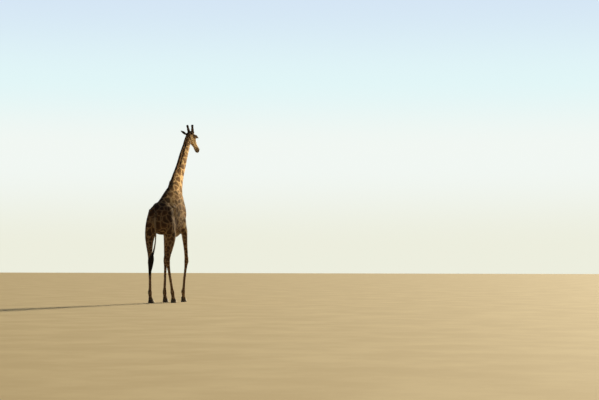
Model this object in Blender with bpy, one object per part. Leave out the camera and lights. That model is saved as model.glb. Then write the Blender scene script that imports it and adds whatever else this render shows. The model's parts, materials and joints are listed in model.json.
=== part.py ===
"""A bull giraffe in mid stride, life size, as a still museum model.

Metres, +Z up. The giraffe faces -Y, so +X is its left side, and it stands on z = 0.
The flesh is lofted through named girths, rounded out with muscles, fused into one hide by a
voxel remesh, thinned to facets, and parted with thin cuts into the pieces a person would name.
At the end everything is moved so that the origin is under the middle of the model.
"""

import math

import bmesh
import bpy
from mathutils import Matrix, Vector

# ---------------------------------------------------------------- driving sizes
GAP = 0.0004  # clearance left between neighbouring solids
LEFT, RIGHT = 1, -1
SIDE_NAMES = {LEFT: "left", RIGHT: "right"}

BODY_VOXEL, BODY_TRIANGLES = 0.014, 4100
HEAD_VOXEL, HEAD_TRIANGLES = 0.006, 1700
BODY_SMOOTHING, HEAD_SMOOTHING = 9, 5
# How freely triangles are taken from the limbs and the face, against 1 on the trunk
THINNING_STRENGTH, LIMB_THINNING, FACE_THINNING = 1.0, 0.85, 0.90

# Trunk slices from rump to breast: y, top, bottom, half width
TRUNK_SLICES = (
    (0.77, 2.55, 2.20, 0.07),
    (0.69, 2.69, 2.04, 0.18),
    (0.50, 2.82, 1.93, 0.27),
    (0.30, 2.93, 1.91, 0.315),
    (0.05, 3.075, 1.93, 0.340),
    (-0.20, 3.26, 1.90, 0.350),
    (-0.42, 3.39, 1.86, 0.335),
    (-0.62, 3.42, 1.86, 0.285),
    (-0.79, 3.28, 1.95, 0.225),
    (-0.92, 3.02, 2.12, 0.160),
    (-0.99, 2.80, 2.38, 0.090),
)
# The trunk's section narrows towards the backbone by this share
BACK_TAPER = 0.20

# Neck rings from inside the chest to the throat: x, y, z, half width, half depth
NECK_RINGS = (
    (0, -0.42, 2.62, 0.260, 0.440),
    (0, -0.52, 2.95, 0.225, 0.400),
    (0, -0.640, 3.28, 0.180, 0.320),
    (0, -0.822, 3.60, 0.148, 0.230),
    (0, -1.032, 3.90, 0.130, 0.184),
    (0, -1.210, 4.20, 0.118, 0.165),
    (0, -1.400, 4.48, 0.106, 0.145),
    (0, -1.540, 4.70, 0.100, 0.132),
    (0, -1.630, 4.84, 0.088, 0.112),
    (0, -1.690, 4.94, 0.072, 0.080),
)

# Leg rings from the shoulder or hip down to the coronet: height, half width, half depth
FORE_GIRTHS = (
    (2.72, 0.090, 0.180),
    (2.45, 0.102, 0.185),
    (2.22, 0.100, 0.165),
    (2.02, 0.088, 0.132),
    (1.85, 0.074, 0.102),
    (1.60, 0.060, 0.078),
    (1.36, 0.052, 0.062),
    (1.27, 0.058, 0.066),
    (1.19, 0.064, 0.070),
    (1.10, 0.055, 0.058),
    (1.00, 0.043, 0.047),
    (0.70, 0.037, 0.043),
    (0.42, 0.040, 0.046),
    (0.335, 0.050, 0.056),
    (0.275, 0.056, 0.062),
    (0.21, 0.046, 0.052),
    (0.155, 0.052, 0.060),
    (0.08, 0.068, 0.078),
)
HIND_GIRTHS = (
    (2.62, 0.130, 0.250),
    (2.40, 0.150, 0.300),
    (2.18, 0.150, 0.285),
    (1.98, 0.132, 0.235),
    (1.78, 0.110, 0.180),
    (1.58, 0.088, 0.128),
    (1.38, 0.066, 0.092),
    (1.24, 0.054, 0.074),
    (1.12, 0.056, 0.075),
    (1.02, 0.048, 0.062),
    (0.90, 0.041, 0.050),
    (0.60, 0.037, 0.044),
    (0.40, 0.041, 0.047),
    (0.330, 0.050, 0.056),
    (0.270, 0.056, 0.061),
    (0.21, 0.046, 0.052),
    (0.155, 0.052, 0.060),
    (0.08, 0.067, 0.077),
)
# Where each leg's axis runs: height, x (outwards from the midline), y
FORE_AXIS = {
    RIGHT: ((2.72, 0.160, -0.600), (2.45, 0.165, -0.700), (2.22, 0.188, -0.715),
            (2.02, 0.230, -0.745), (1.60, 0.220, -0.875), (1.19, 0.212, -0.970),
            (0.70, 0.175, -0.915), (0.275, 0.150, -0.885), (0.08, 0.142, -0.925)),
    LEFT: ((2.72, 0.160, -0.580), (2.45, 0.180, -0.640), (2.02, 0.240, -0.560),
           (1.60, 0.225, -0.480), (1.19, 0.210, -0.425), (0.70, 0.200, -0.365),
           (0.275, 0.192, -0.325), (0.08, 0.190, -0.365)),
}
HIND_AXIS = {
    RIGHT: ((2.62, 0.17, 0.42), (2.40, 0.19, 0.36), (2.18, 0.205, 0.285), (1.98, 0.215, 0.215),
            (1.78, 0.215, 0.190), (1.58, 0.205, 0.225), (1.38, 0.190, 0.285), (1.12, 0.180, 0.325),
            (0.90, 0.185, 0.255), (0.60, 0.195, 0.150), (0.270, 0.205, 0.035),
            (0.08, 0.207, -0.015)),
    LEFT: ((2.62, 0.17, 0.46), (2.40, 0.195, 0.47), (2.18, 0.235, 0.500), (1.98, 0.265, 0.535),
           (1.78, 0.272, 0.580), (1.58, 0.250, 0.625), (1.38, 0.222, 0.665), (1.12, 0.200, 0.715),
           (0.90, 0.200, 0.700), (0.60, 0.200, 0.695), (0.270, 0.200, 0.690),
           (0.08, 0.200, 0.640)),
}

# Muscles that round out the body, on both sides:
# centre (x outwards), radii, lean forwards and splay outwards in degrees, leg whose stride they follow
PAIRED_MUSCLES = {
    "shoulder_blade": ((0.150, -0.57, 2.78), (0.115, 0.190, 0.440), 24, -9, "fore"),
    "shoulder_point": ((0.155, -0.75, 2.42), (0.090, 0.130, 0.180), 0, 0, "fore"),
    "upper_arm": ((0.225, -0.58, 2.27), (0.090, 0.180, 0.200), -20, 0, "fore"),
    "rump": ((0.180, 0.35, 2.52), (0.160, 0.270, 0.250), 0, -8, None),
    "hip_bone": ((0.235, 0.12, 2.66), (0.080, 0.130, 0.110), 0, 0, None),
    "croup": ((0.120, 0.42, 2.66), (0.120, 0.260, 0.150), 25, 0, None),
    "thigh": ((0.215, 0.44, 2.22), (0.160, 0.270, 0.310), 0, 0, "hind"),
}
MIDLINE_MUSCLES = {
    "breast": ((0, -0.88, 2.46), (0.170, 0.150, 0.330), 0),
    "withers": ((0, -0.50, 3.30), (0.090, 0.260, 0.150), 30),
}
STRIDE_SHIFT = {"fore": {LEFT: 0.04, RIGHT: -0.04}, "hind": {LEFT: 0.05, RIGHT: -0.06}}
# Bumps on the leg's axis: offset backwards, height; radii
KNEE_CAP = ((-0.022, 1.215), (0.056, 0.056, 0.085))
HEEL_BONE = ((0.052, 1.190), (0.027, 0.034, 0.085))

# Hooves: outline on the ground, and how far the toe and the sides draw in at the coronet
CORONET = 0.100
HOOF_HALF_WIDTH, HOOF_HALF_LENGTH = 0.080, 0.112
CORONET_HALF_WIDTH, CORONET_HALF_LENGTH = 0.066, 0.078
HOOF_TOE_LEAN = 0.030
HOOF_AHEAD = 0.012  # the hoof's middle lies this far before the leg's axis
HEEL_SPREAD = 0.10  # the heels are this much wider than the middle
# Wall profile: share of the coronet's height, and how much of the spread is left there
HOOF_WALL = ((0.0, 1.0), (0.25, 0.93), (0.6, 0.55), (0.9, 0.12), (1.0, 0.0))
HOOF_SIDES = 16
CLEFT_WIDTH, CLEFT_LENGTH = 0.014, 0.130

# Head, in its own level frame: skull's rear at the origin, nose along -Y
HEAD_PLACE = (0.0, -1.700, 4.950)
HEAD_PITCH = math.radians(41)
HEAD_YAW = math.radians(-10)
SKULL_SLICES = (  # y, top, bottom, half width
    (0.045, 0.045, -0.070, 0.050),
    (0.010, 0.088, -0.115, 0.082),
    (-0.060, 0.118, -0.146, 0.100),
    (-0.130, 0.128, -0.162, 0.106),
    (-0.205, 0.122, -0.166, 0.103),
    (-0.285, 0.092, -0.160, 0.086),
    (-0.370, 0.058, -0.147, 0.068),
    (-0.455, 0.032, -0.134, 0.059),
    (-0.540, 0.016, -0.134, 0.064),
    (-0.610, 0.004, -0.140, 0.068),
    (-0.660, -0.018, -0.138, 0.060),
    (-0.690, -0.050, -0.122, 0.036),
)
# Forms of the head, in its level frame, as for the body's muscles
PAIRED_HEAD_FORMS = {
    "brow": ((0.088, -0.200, 0.062), (0.040, 0.062, 0.024), 6, 12),
    "lower_lid": ((0.086, -0.205, 0.004), (0.032, 0.056, 0.020), 0, -16),
    "cheek": ((0.076, -0.100, -0.075), (0.036, 0.100, 0.085), 0, 0),
    "nostril": ((0.038, -0.618, -0.040), (0.028, 0.054, 0.032), 12, 0),
    "horn_root": ((0.058, -0.030, 0.070), (0.050, 0.066, 0.058), 0, 0),
    "horn_seat": ((0.067, 0.022, 0.104), (0.042, 0.050, 0.040), -30, 0),
    "ear_root": ((0.090, -0.010, -0.020), (0.030, 0.040, 0.050), 0, 0),
}
MIDLINE_HEAD_FORMS = {
    "forehead_knob": ((0, -0.170, 0.108), (0.046, 0.095, 0.034), -14),
    "upper_lip": ((0, -0.640, -0.072), (0.058, 0.058, 0.042), 0),
    "chin": ((0, -0.600, -0.124), (0.044, 0.060, 0.026), 0),
}
EYE_RADIUS, EYE_PLACE = 0.028, (0.099, -0.207, 0.033)

# Ossicones: base and tip in the head's frame, and their half thickness at each
OSSICONE_BASE, OSSICONE_TIP = (0.060, -0.020, 0.070), (0.088, 0.160, 0.197)
OSSICONE_GIRTHS = (
    (0.0, 0.026), (0.3, 0.033), (0.55, 0.031), (0.75, 0.030), (0.90, 0.034), (0.98, 0.029), (1.0, 0.018))

# Ears: root and tip of each, the right one turned forwards and down; then the leaf outline
EAR_LINE = {
    LEFT: ((0.070, -1.690, 4.905), (0.250, -1.630, 5.030)),
    RIGHT: ((-0.085, -1.700, 4.935), (-0.215, -1.850, 4.825)),
}
EAR_OUTLINE = (
    (0.0, 0.020), (0.15, 0.024), (0.35, 0.042), (0.55, 0.052), (0.75, 0.045), (0.92, 0.020), (1.0, 0.006))
EAR_THICKNESS, EAR_CUP = 0.0065, 0.55

# Tail and its tassel: x, y, z, half width, half depth
TAIL_RINGS = (
    (0.0, 0.66, 2.56, 0.052, 0.060),
    (0.0, 0.775, 2.47, 0.046, 0.046),
    (-0.004, 0.845, 2.30, 0.034, 0.034),
    (-0.020, 0.860, 2.08, 0.025, 0.026),
    (-0.035, 0.855, 1.86, 0.020, 0.021),
    (-0.005, 0.860, 1.60, 0.017, 0.018),
    (0.055, 0.870, 1.37, 0.017, 0.018),
)
TASSEL_RINGS = (
    (0.055, 0.870, 1.37, 0.020, 0.021),
    (0.066, 0.872, 1.31, 0.046, 0.046),
    (0.082, 0.872, 1.21, 0.060, 0.058),
    (0.105, 0.870, 1.05, 0.052, 0.050),
    (0.130, 0.866, 0.88, 0.034, 0.034),
    (0.148, 0.862, 0.74, 0.012, 0.012),
)

# Mane: share along the neck's crest, height of the hair above it
MANE_STEPS, MANE_SIDES = 18, 8
MANE_HALF_WIDTH = 0.019
MANE_ROOT_DEPTH = 0.045
MANE_HEIGHTS = (
    (0.0, 0.012), (0.08, 0.045), (0.3, 0.070), (0.6, 0.078), (0.85, 0.070), (0.97, 0.050), (1.0, 0.020))

# Cuts: a point on the plane and the direction towards the head
NECK_CUT = ((0, -0.74, 3.15), (0, -0.70, 0.714))
HEAD_CUT = ((0, -1.585, 4.74), (0, -0.92, 0.39))
# A leg is what lies under a sloping roof: height at the midline, rise outwards, rise backwards
FORE_ROOF = (1.715, 0.90, 0.05)
HIND_ROOF = (1.715, 0.80, 0.33)
SIDE_DIVIDE = {RIGHT: -0.38, LEFT: 0.02}  # y that parts fore from hind on each side

# Finishes: colour, roughness
FINISHES = {
    "hide": ((0.42, 0.27, 0.15), 0.80),
    "leg_hide": ((0.62, 0.49, 0.34), 0.80),
    "hoof_horn": ((0.075, 0.062, 0.052), 0.50),
    "dark_hair": ((0.035, 0.026, 0.022), 0.75),
    "mane_hair": ((0.30, 0.17, 0.09), 0.80),
    "eye_gloss": ((0.02, 0.014, 0.010), 0.08),
}


# ---------------------------------------------------------------- small helpers
def clear_scene():
    """Start from an empty scene."""
    for item in list(bpy.data.objects):
        bpy.data.objects.remove(item, do_unlink=True)


def finish(name):
    """The named surface material, made once."""
    colour, roughness = FINISHES[name]
    material = bpy.data.materials.get(name)
    if material is None:
        material = bpy.data.materials.new(name)
        material.use_nodes = True
        shader = material.node_tree.nodes["Principled BSDF"]
        shader.inputs["Base Color"].default_value = (*colour, 1.0)
        shader.inputs["Roughness"].default_value = roughness
        shader.inputs["Metallic"].default_value = 0.0
    return material


def new_object(name, mesh):
    """Link a mesh to the scene under a name."""
    item = bpy.data.objects.new(name, mesh)
    bpy.context.collection.objects.link(item)
    return item


def spline(stations, share):
    """Catmull-Rom value of a table of equal-length rows, share 0..1 along it."""
    last = len(stations) - 1
    place = min(max(share * last, 0.0), last - 1e-9)
    index = int(place)
    t = place - index
    rows = [stations[min(max(index + step, 0), last)] for step in (-1, 0, 1, 2)]
    before, start, end, after = rows
    value = []
    for a, b, c, d in zip(before, start, end, after):
        bend = 2 * b + (c - a) * t + (2 * a - 5 * b + 4 * c - d) * t * t
        value.append(0.5 * (bend + (3 * b - a - 3 * c + d) * t ** 3))
    return value


def lookup(table, key):
    """Straight-line value of a table whose first column rises or falls steadily."""
    rows = sorted(table)
    if key <= rows[0][0]:
        return rows[0][1:]
    for low, high in zip(rows, rows[1:]):
        if key <= high[0]:
            t = (key - low[0]) / (high[0] - low[0])
            return tuple(a + (b - a) * t for a, b in zip(low[1:], high[1:]))
    return rows[-1][1:]


def skin_rings(name, rings):
    """A closed mesh through rings that all have the same number of points."""
    work = bmesh.new()
    loops = [[work.verts.new(point) for point in ring] for ring in rings]
    count = len(rings[0])
    for lower, upper in zip(loops, loops[1:]):
        for i in range(count):
            j = (i + 1) % count
            work.faces.new((lower[i], lower[j], upper[j], upper[i]))
    work.faces.new(loops[0][::-1])
    work.faces.new(loops[-1])
    bmesh.ops.recalc_face_normals(work, faces=work.faces)
    mesh = bpy.data.meshes.new(name)
    work.to_mesh(mesh)
    work.free()
    return new_object(name, mesh)


def tube(name, stations, steps=24, sides=20, cup=0.0, facing=Vector((1, 0, 0))):
    """A round limb: stations are x, y, z, half width, half depth, taken along a smooth line.

    The width runs along facing. A cup bends each ring into a trough, as in an ear.
    """
    rows = [spline(stations, i / steps) for i in range(steps + 1)]
    centres = [Vector(row[:3]) for row in rows]
    rings = []
    for i, row in enumerate(rows):
        ahead = centres[min(i + 1, steps)] - centres[max(i - 1, 0)]
        ahead.normalize()
        wide = (facing - ahead * facing.dot(ahead)).normalized()
        deep = ahead.cross(wide)
        ring = []
        for k in range(sides):
            turn = 2 * math.pi * k / sides
            across, along = math.cos(turn), math.sin(turn)
            lift = cup * row[3] * across * across
            ring.append(centres[i] + wide * row[3] * across + deep * (row[4] * along + lift))
        rings.append(ring)
    return skin_rings(name, rings)


def sliced(name, slices, taper, steps=26, sides=28):
    """A trunk or skull: slices are y, top, bottom, half width, narrower towards the top."""
    rings = []
    for i in range(steps + 1):
        y, top, bottom, half_width = spline(slices, i / steps)
        middle, half_height = (top + bottom) / 2, (top - bottom) / 2
        ring = []
        for k in range(sides):
            turn = 2 * math.pi * k / sides
            across, up = math.cos(turn), math.sin(turn)
            ring.append(Vector((half_width * across * (1 - taper * up), y, middle + half_height * up)))
        rings.append(ring)
    return skin_rings(name, rings)


def muscle(centre, radii, lean=0.0, side=LEFT, splay=0.0):
    """An ellipsoid of flesh, leaning forwards by lean and outwards by splay degrees."""
    mesh = bpy.data.meshes.new("muscle")
    work = bmesh.new()
    bmesh.ops.create_uvsphere(work, u_segments=20, v_segments=14, radius=1.0)
    tilt = Matrix.Rotation(math.radians(-lean), 4, "X") @ Matrix.Rotation(math.radians(splay * side), 4, "Y")
    place = Matrix.Translation((centre[0] * side, centre[1], centre[2]))
    work.transform(place @ tilt @ Matrix.Diagonal((*radii, 1.0)))
    work.to_mesh(mesh)
    work.free()
    return new_object("muscle", mesh)


def apply_modifiers(item):
    """Replace an object's mesh by what its modifiers make of it."""
    graph = bpy.context.evaluated_depsgraph_get()
    graph.update()
    mesh = bpy.data.meshes.new_from_object(item.evaluated_get(graph))
    item.modifiers.clear()
    item.data = mesh


def join(name, pieces):
    """One mesh object out of several, keeping each as its own shell."""
    work = bmesh.new()
    for piece in pieces:
        work.from_mesh(piece.data)
        bpy.data.objects.remove(piece, do_unlink=True)
    mesh = bpy.data.meshes.new(name)
    work.to_mesh(mesh)
    work.free()
    return new_object(name, mesh)


def fuse(name, pieces, voxel, smoothing, triangles, thinning):
    """Fuse overlapping shells into one smooth hide of about so many triangles.

    thinning says, for a point, how freely triangles may be taken away there, up to 1.
    """
    item = join(name, pieces)
    remesh = item.modifiers.new("fuse", "REMESH")
    remesh.mode = "VOXEL"
    remesh.voxel_size = voxel
    smooth = item.modifiers.new("soften", "SMOOTH")
    smooth.factor = 0.5
    smooth.iterations = smoothing
    apply_modifiers(item)
    drop_small_shells(item)
    thin = item.modifiers.new("thin", "DECIMATE")
    thin.ratio = triangles / (2 * len(item.data.polygons))
    group = item.vertex_groups.new(name="thinning")
    for vertex in item.data.vertices:
        group.add([vertex.index], thinning(vertex.co), "REPLACE")
    thin.vertex_group = group.name
    thin.vertex_group_factor = THINNING_STRENGTH
    apply_modifiers(item)
    item.vertex_groups.clear()
    return item


def drop_small_shells(item):
    """Keep only the largest connected shell of a mesh."""
    work = bmesh.new()
    work.from_mesh(item.data)
    unseen = set(work.verts)
    shells = []
    while unseen:
        start = unseen.pop()
        shell, frontier = {start}, [start]
        while frontier:
            vertex = frontier.pop()
            for edge in vertex.link_edges:
                other = edge.other_vert(vertex)
                if other in unseen:
                    unseen.discard(other)
                    shell.add(other)
                    frontier.append(other)
        shells.append(shell)
    shells.sort(key=len)
    for shell in shells[:-1]:
        bmesh.ops.delete(work, geom=list(shell), context="VERTS")
    work.to_mesh(item.data)
    work.free()


def copy_of(item, name):
    """A second object with its own copy of the mesh."""
    return new_object(name, item.data.copy())


def sawn(item, name, point, ahead, keep_ahead):
    """A copy of an object sawn by a plane, with the sawn face closed, half a gap back from it."""
    ahead = Vector(ahead).normalized()
    back_off = ahead * (GAP / 2 if keep_ahead else -GAP / 2)
    work = bmesh.new()
    work.from_mesh(item.data)
    everything = work.verts[:] + work.edges[:] + work.faces[:]
    cut = bmesh.ops.bisect_plane(
        work, geom=everything, dist=1e-6, plane_co=Vector(point) + back_off, plane_no=ahead,
        clear_outer=not keep_ahead, clear_inner=keep_ahead)
    rim = [part for part in cut["geom_cut"] if isinstance(part, bmesh.types.BMEdge)]
    caps = bmesh.ops.edgenet_fill(work, edges=rim)
    bmesh.ops.triangulate(work, faces=caps["faces"])
    bmesh.ops.recalc_face_normals(work, faces=work.faces)
    mesh = bpy.data.meshes.new(name)
    work.to_mesh(mesh)
    work.free()
    return new_object(name, mesh)


def cut_with(item, cutter, operation):
    """Boolean an object with a cutter and keep the result."""
    step = item.modifiers.new("cut", "BOOLEAN")
    step.operation = operation
    step.solver = "EXACT"
    step.object = cutter
    apply_modifiers(item)


def carve(item, neighbour):
    """Cut a neighbour, grown by the gap, out of an object, so that the two meet without touching."""
    grown = copy_of(neighbour, "grown")
    swell = grown.modifiers.new("swell", "DISPLACE")
    swell.strength = GAP
    swell.mid_level = 0.0
    apply_modifiers(grown)
    cut_with(item, grown, "DIFFERENCE")
    bpy.data.objects.remove(grown, do_unlink=True)
    drop_small_shells(item)


# ---------------------------------------------------------------- the flesh
def leg_flesh(axis, girths, side, name):
    """One leg from inside the body down to the coronet."""
    stations = []
    for height, half_width, half_depth in girths:
        out, y = lookup(axis[side], height)
        stations.append((out * side, y, height, half_width, half_depth))
    return tube(name, stations, steps=3 * len(girths), sides=20)


def body_flesh():
    """Trunk, neck and legs, fused and thinned."""
    pieces = [sliced("trunk_core", TRUNK_SLICES, BACK_TAPER)]
    pieces.append(tube("neck_core", NECK_RINGS, steps=30, sides=24))
    for side in (LEFT, RIGHT):
        pieces.append(leg_flesh(FORE_AXIS, FORE_GIRTHS, side, "fore"))
        pieces.append(leg_flesh(HIND_AXIS, HIND_GIRTHS, side, "hind"))
        for centre, radii, lean, splay, follows in PAIRED_MUSCLES.values():
            shift = STRIDE_SHIFT[follows][side] if follows else 0.0
            place = (centre[0], centre[1] + shift, centre[2])
            pieces.append(muscle(place, radii, lean, side, splay))
        for (offset, radii), axis in ((KNEE_CAP, FORE_AXIS), (HEEL_BONE, HIND_AXIS)):
            out, y = lookup(axis[side], offset[1])
            pieces.append(muscle((out, y + offset[0], offset[1]), radii, 0, side))
    for centre, radii, lean in MIDLINE_MUSCLES.values():
        pieces.append(muscle(centre, radii, lean))

    def thinning(point):
        return LIMB_THINNING if point.z < 2.0 or point.z > 3.4 else 1.0

    return fuse("body", pieces, BODY_VOXEL, BODY_SMOOTHING, BODY_TRIANGLES, thinning)


def head_matrix():
    """From the head's level frame to the world."""
    turn = Matrix.Rotation(HEAD_YAW, 4, "Z") @ Matrix.Rotation(HEAD_PITCH, 4, "X")
    return Matrix.Translation(HEAD_PLACE) @ turn


def head_flesh():
    """Skull, jaw, cheeks, muzzle and the top of the neck, fused and thinned."""
    pieces = [sliced("skull", SKULL_SLICES, 0.10, steps=30, sides=28)]
    for centre, radii, lean, splay in PAIRED_HEAD_FORMS.values():
        pieces += [muscle(centre, radii, lean, side, splay) for side in (LEFT, RIGHT)]
    for centre, radii, lean in MIDLINE_HEAD_FORMS.values():
        pieces.append(muscle(centre, radii, lean))
    for piece in pieces:
        piece.data.transform(head_matrix())
    pieces.append(tube("throat", NECK_RINGS[-5:], steps=20, sides=24))

    def thinning(point):
        return 1.0 if point.y > HEAD_CUT[0][1] else FACE_THINNING

    return fuse("head_mass", pieces, HEAD_VOXEL, HEAD_SMOOTHING, HEAD_TRIANGLES, thinning)


# ---------------------------------------------------------------- parting the flesh
def leg_block(side, fore, grow):
    """The space under a leg's sloping roof, down to the coronet, grown on request."""
    base, rise_out, rise_back = FORE_ROOF if fore else HIND_ROOF
    divide = SIDE_DIVIDE[side]
    near, far = (-1.6, divide) if fore else (divide, 1.4)
    work = bmesh.new()
    bmesh.ops.create_cube(work, size=1.0)
    for vertex in work.verts:
        out = 0.60 if vertex.co.x * side > 0 else 0.001
        y = far if vertex.co.y > 0 else near
        roof = base + rise_out * out + rise_back * y + grow
        floor = CORONET if grow == 0 else -1.0
        vertex.co = (out * side, y, roof if vertex.co.z > 0 else floor)
    bmesh.ops.recalc_face_normals(work, faces=work.faces)
    mesh = bpy.data.meshes.new("leg_block")
    work.to_mesh(mesh)
    work.free()
    return new_object("leg_block", mesh)


def part_legs(body):
    """Take the four legs off the body and return them by name."""
    legs = []
    for side in (LEFT, RIGHT):
        for fore in (True, False):
            name = f"leg_{'front' if fore else 'hind'}_{SIDE_NAMES[side]}"
            leg = copy_of(body, name)
            block = leg_block(side, fore, 0.0)
            cut_with(leg, block, "INTERSECT")
            drop_small_shells(leg)
            legs.append(leg)
            bpy.data.objects.remove(block, do_unlink=True)
    for side in (LEFT, RIGHT):
        for fore in (True, False):
            block = leg_block(side, fore, 2 * GAP)
            cut_with(body, block, "DIFFERENCE")
            bpy.data.objects.remove(block, do_unlink=True)
    drop_small_shells(body)
    return legs


# ---------------------------------------------------------------- horn, hair and eyes
def hoof(side, fore):
    """A cloven hoof: flat sole, walls drawn in to the coronet, and a cleft from the toe."""
    axis = FORE_AXIS if fore else HIND_AXIS
    out, y = axis[side][-1][1:]
    centre = Vector((out * side, y - HOOF_AHEAD, 0))
    name = f"hoof_{'front' if fore else 'hind'}_{SIDE_NAMES[side]}"
    rings = []
    for share, spread in HOOF_WALL:
        half_width = CORONET_HALF_WIDTH + (HOOF_HALF_WIDTH - CORONET_HALF_WIDTH) * spread
        half_length = CORONET_HALF_LENGTH + (HOOF_HALF_LENGTH - CORONET_HALF_LENGTH) * spread
        ring = []
        for k in range(HOOF_SIDES):
            turn = 2 * math.pi * k / HOOF_SIDES
            across, along = math.cos(turn), math.sin(turn)
            width = half_width * (1 + HEEL_SPREAD * along)
            lengthwise = half_length * along - HOOF_TOE_LEAN * spread
            ring.append(centre + Vector((width * across, lengthwise, share * (CORONET - GAP))))
        rings.append(ring)
    piece = skin_rings(name, rings)
    toe = centre.y - HOOF_HALF_LENGTH - 2 * HOOF_TOE_LEAN
    work = bmesh.new()
    bmesh.ops.create_cube(work, size=1.0)
    for vertex in work.verts:
        at_toe = vertex.co.y < 0
        half = CLEFT_WIDTH / 2 if at_toe else CLEFT_WIDTH / 6
        place_y = toe if at_toe else toe + HOOF_TOE_LEAN + CLEFT_LENGTH
        vertex.co = (centre.x + math.copysign(half, vertex.co.x), place_y, 2 * CORONET * vertex.co.z)
    mesh = bpy.data.meshes.new("cleft")
    work.to_mesh(mesh)
    work.free()
    cleft = new_object("cleft", mesh)
    cut_with(piece, cleft, "DIFFERENCE")
    bpy.data.objects.remove(cleft, do_unlink=True)
    return piece


def in_head(point, side=LEFT):
    """A point of the head's frame, mirrored to a side, in the world."""
    return head_matrix() @ Vector((point[0] * side, point[1], point[2]))


def ossicone(side):
    """One skin-covered horn, thick and blunt as in an old bull."""
    base, tip = in_head(OSSICONE_BASE, side), in_head(OSSICONE_TIP, side)
    stations = [(*base.lerp(tip, share), girth, girth) for share, girth in OSSICONE_GIRTHS]
    return tube(f"ossicone_{SIDE_NAMES[side]}", stations, steps=8, sides=10)


def ear(side):
    """One leaf-shaped ear, cupped towards the front."""
    root, tip = (Vector(end) for end in EAR_LINE[side])
    stations = []
    for share, half_width in EAR_OUTLINE:
        centre = root.lerp(tip, share) + Vector((0, 0, -0.02 * math.sin(math.pi * share)))
        thickness = min(EAR_THICKNESS + 0.008 * (1 - share) ** 3, half_width)
        stations.append((*centre, half_width, thickness))
    upright = head_matrix().to_3x3() @ Vector((0, -0.25, 1))
    return tube(f"ear_{SIDE_NAMES[side]}", stations, steps=10, sides=10, cup=EAR_CUP * -side, facing=upright)


def eye(side):
    """One eyeball."""
    centre = in_head(EYE_PLACE, side)
    work = bmesh.new()
    bmesh.ops.create_icosphere(work, subdivisions=2, radius=EYE_RADIUS)
    work.transform(Matrix.Translation(centre))
    mesh = bpy.data.meshes.new(f"eye_{SIDE_NAMES[side]}")
    work.to_mesh(mesh)
    work.free()
    return new_object(f"eye_{SIDE_NAMES[side]}", mesh)


def mane():
    """The stiff upright crest from behind the horns down to the withers."""
    stations = NECK_RINGS[2:]
    rings = []
    for i in range(MANE_STEPS + 1):
        share = i / MANE_STEPS
        x, y, z, _, half_depth = spline(stations, share)
        below = Vector(spline(stations, max(share - 0.02, 0))[:3])
        above = Vector(spline(stations, min(share + 0.02, 1))[:3])
        ahead = (above - below).normalized()
        back = Vector((0, ahead.z, -ahead.y))
        height = lookup(MANE_HEIGHTS, share)[0]
        ring = []
        for k in range(MANE_SIDES):
            turn = 2 * math.pi * k / MANE_SIDES
            across, up = math.cos(turn), math.sin(turn)
            reach = half_depth - MANE_ROOT_DEPTH + (height + MANE_ROOT_DEPTH) * (up + 1) / 2
            ring.append(Vector((x, y, z)) + back * reach + Vector((MANE_HALF_WIDTH * across, 0, 0)))
        rings.append(ring)
    return skin_rings("mane", rings)


# ---------------------------------------------------------------- assembly
def give(pieces, finish_name, smooth=True):
    """Give pieces a finish and smooth shading."""
    for piece in pieces:
        piece.data.materials.clear()
        piece.data.materials.append(finish(finish_name))
        if smooth:
            piece.data.shade_smooth()
        else:
            piece.data.shade_flat()


def centre_on_floor(pieces):
    """Move everything so that the origin is under the middle of the whole model."""
    corners = [vertex.co for piece in pieces for vertex in piece.data.vertices]
    low = Vector(min(corner[axis] for corner in corners) for axis in range(3))
    high = Vector(max(corner[axis] for corner in corners) for axis in range(3))
    shift = Vector((-(low.x + high.x) / 2, -(low.y + high.y) / 2, -low.z))
    for piece in pieces:
        piece.data.transform(Matrix.Translation(shift))
    print("size", [round(v, 4) for v in high - low], "shift", [round(v, 4) for v in shift])


def build():
    """Make the whole animal."""
    clear_scene()
    body = body_flesh()
    head_mass = head_flesh()

    head = sawn(head_mass, "head", *HEAD_CUT, True)
    upper = sawn(body, "upper", *NECK_CUT, True)
    neck = sawn(upper, "neck", *HEAD_CUT, False)
    trunk = sawn(body, "trunk", *NECK_CUT, False)
    for spare in (body, head_mass, upper):
        bpy.data.objects.remove(spare, do_unlink=True)
    legs = part_legs(trunk)

    hooves = [hoof(side, fore) for side in (LEFT, RIGHT) for fore in (True, False)]
    eyes = [eye(side) for side in (LEFT, RIGHT)]
    for ball in eyes:
        carve(head, ball)
    horns = [ossicone(side) for side in (LEFT, RIGHT)]
    ears = [ear(side) for side in (LEFT, RIGHT)]
    for piece in horns + ears:
        carve(piece, head)
    crest = mane()
    for neighbour in (neck, trunk, head):
        carve(crest, neighbour)
    tail = tube("tail", TAIL_RINGS, steps=14, sides=8)
    carve(tail, trunk)
    tassel = tube("tail_tassel", TASSEL_RINGS, steps=9, sides=10)
    carve(tassel, tail)

    give([trunk, neck, head, tail] + ears, "hide")
    give(legs, "leg_hide")
    give(hooves, "hoof_horn", smooth=False)
    give(horns + [tassel], "dark_hair")
    give([crest], "mane_hair")
    give(eyes, "eye_gloss")
    pieces = [trunk, neck, head, tail, tassel, crest] + ears + legs + hooves + horns + eyes
    centre_on_floor(pieces)
    for piece in pieces:
        print(piece.name, len(piece.data.polygons), "faces")


build()
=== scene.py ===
# %% [markdown]
# # A standing giraffe, dressed for the library
#
# The solids of the animal are loaded first, as a fixed frame.
# They hold its size, its pose and its outline.
# This lesson gives it a skin, a patterned coat, eyes, horns, hooves and hair, one piece at a time.

# %% Load the frame
import json
import math
import bpy
import numpy as np
from mathutils import Matrix, Vector
from mathutils.bvhtree import BVHTree

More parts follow.
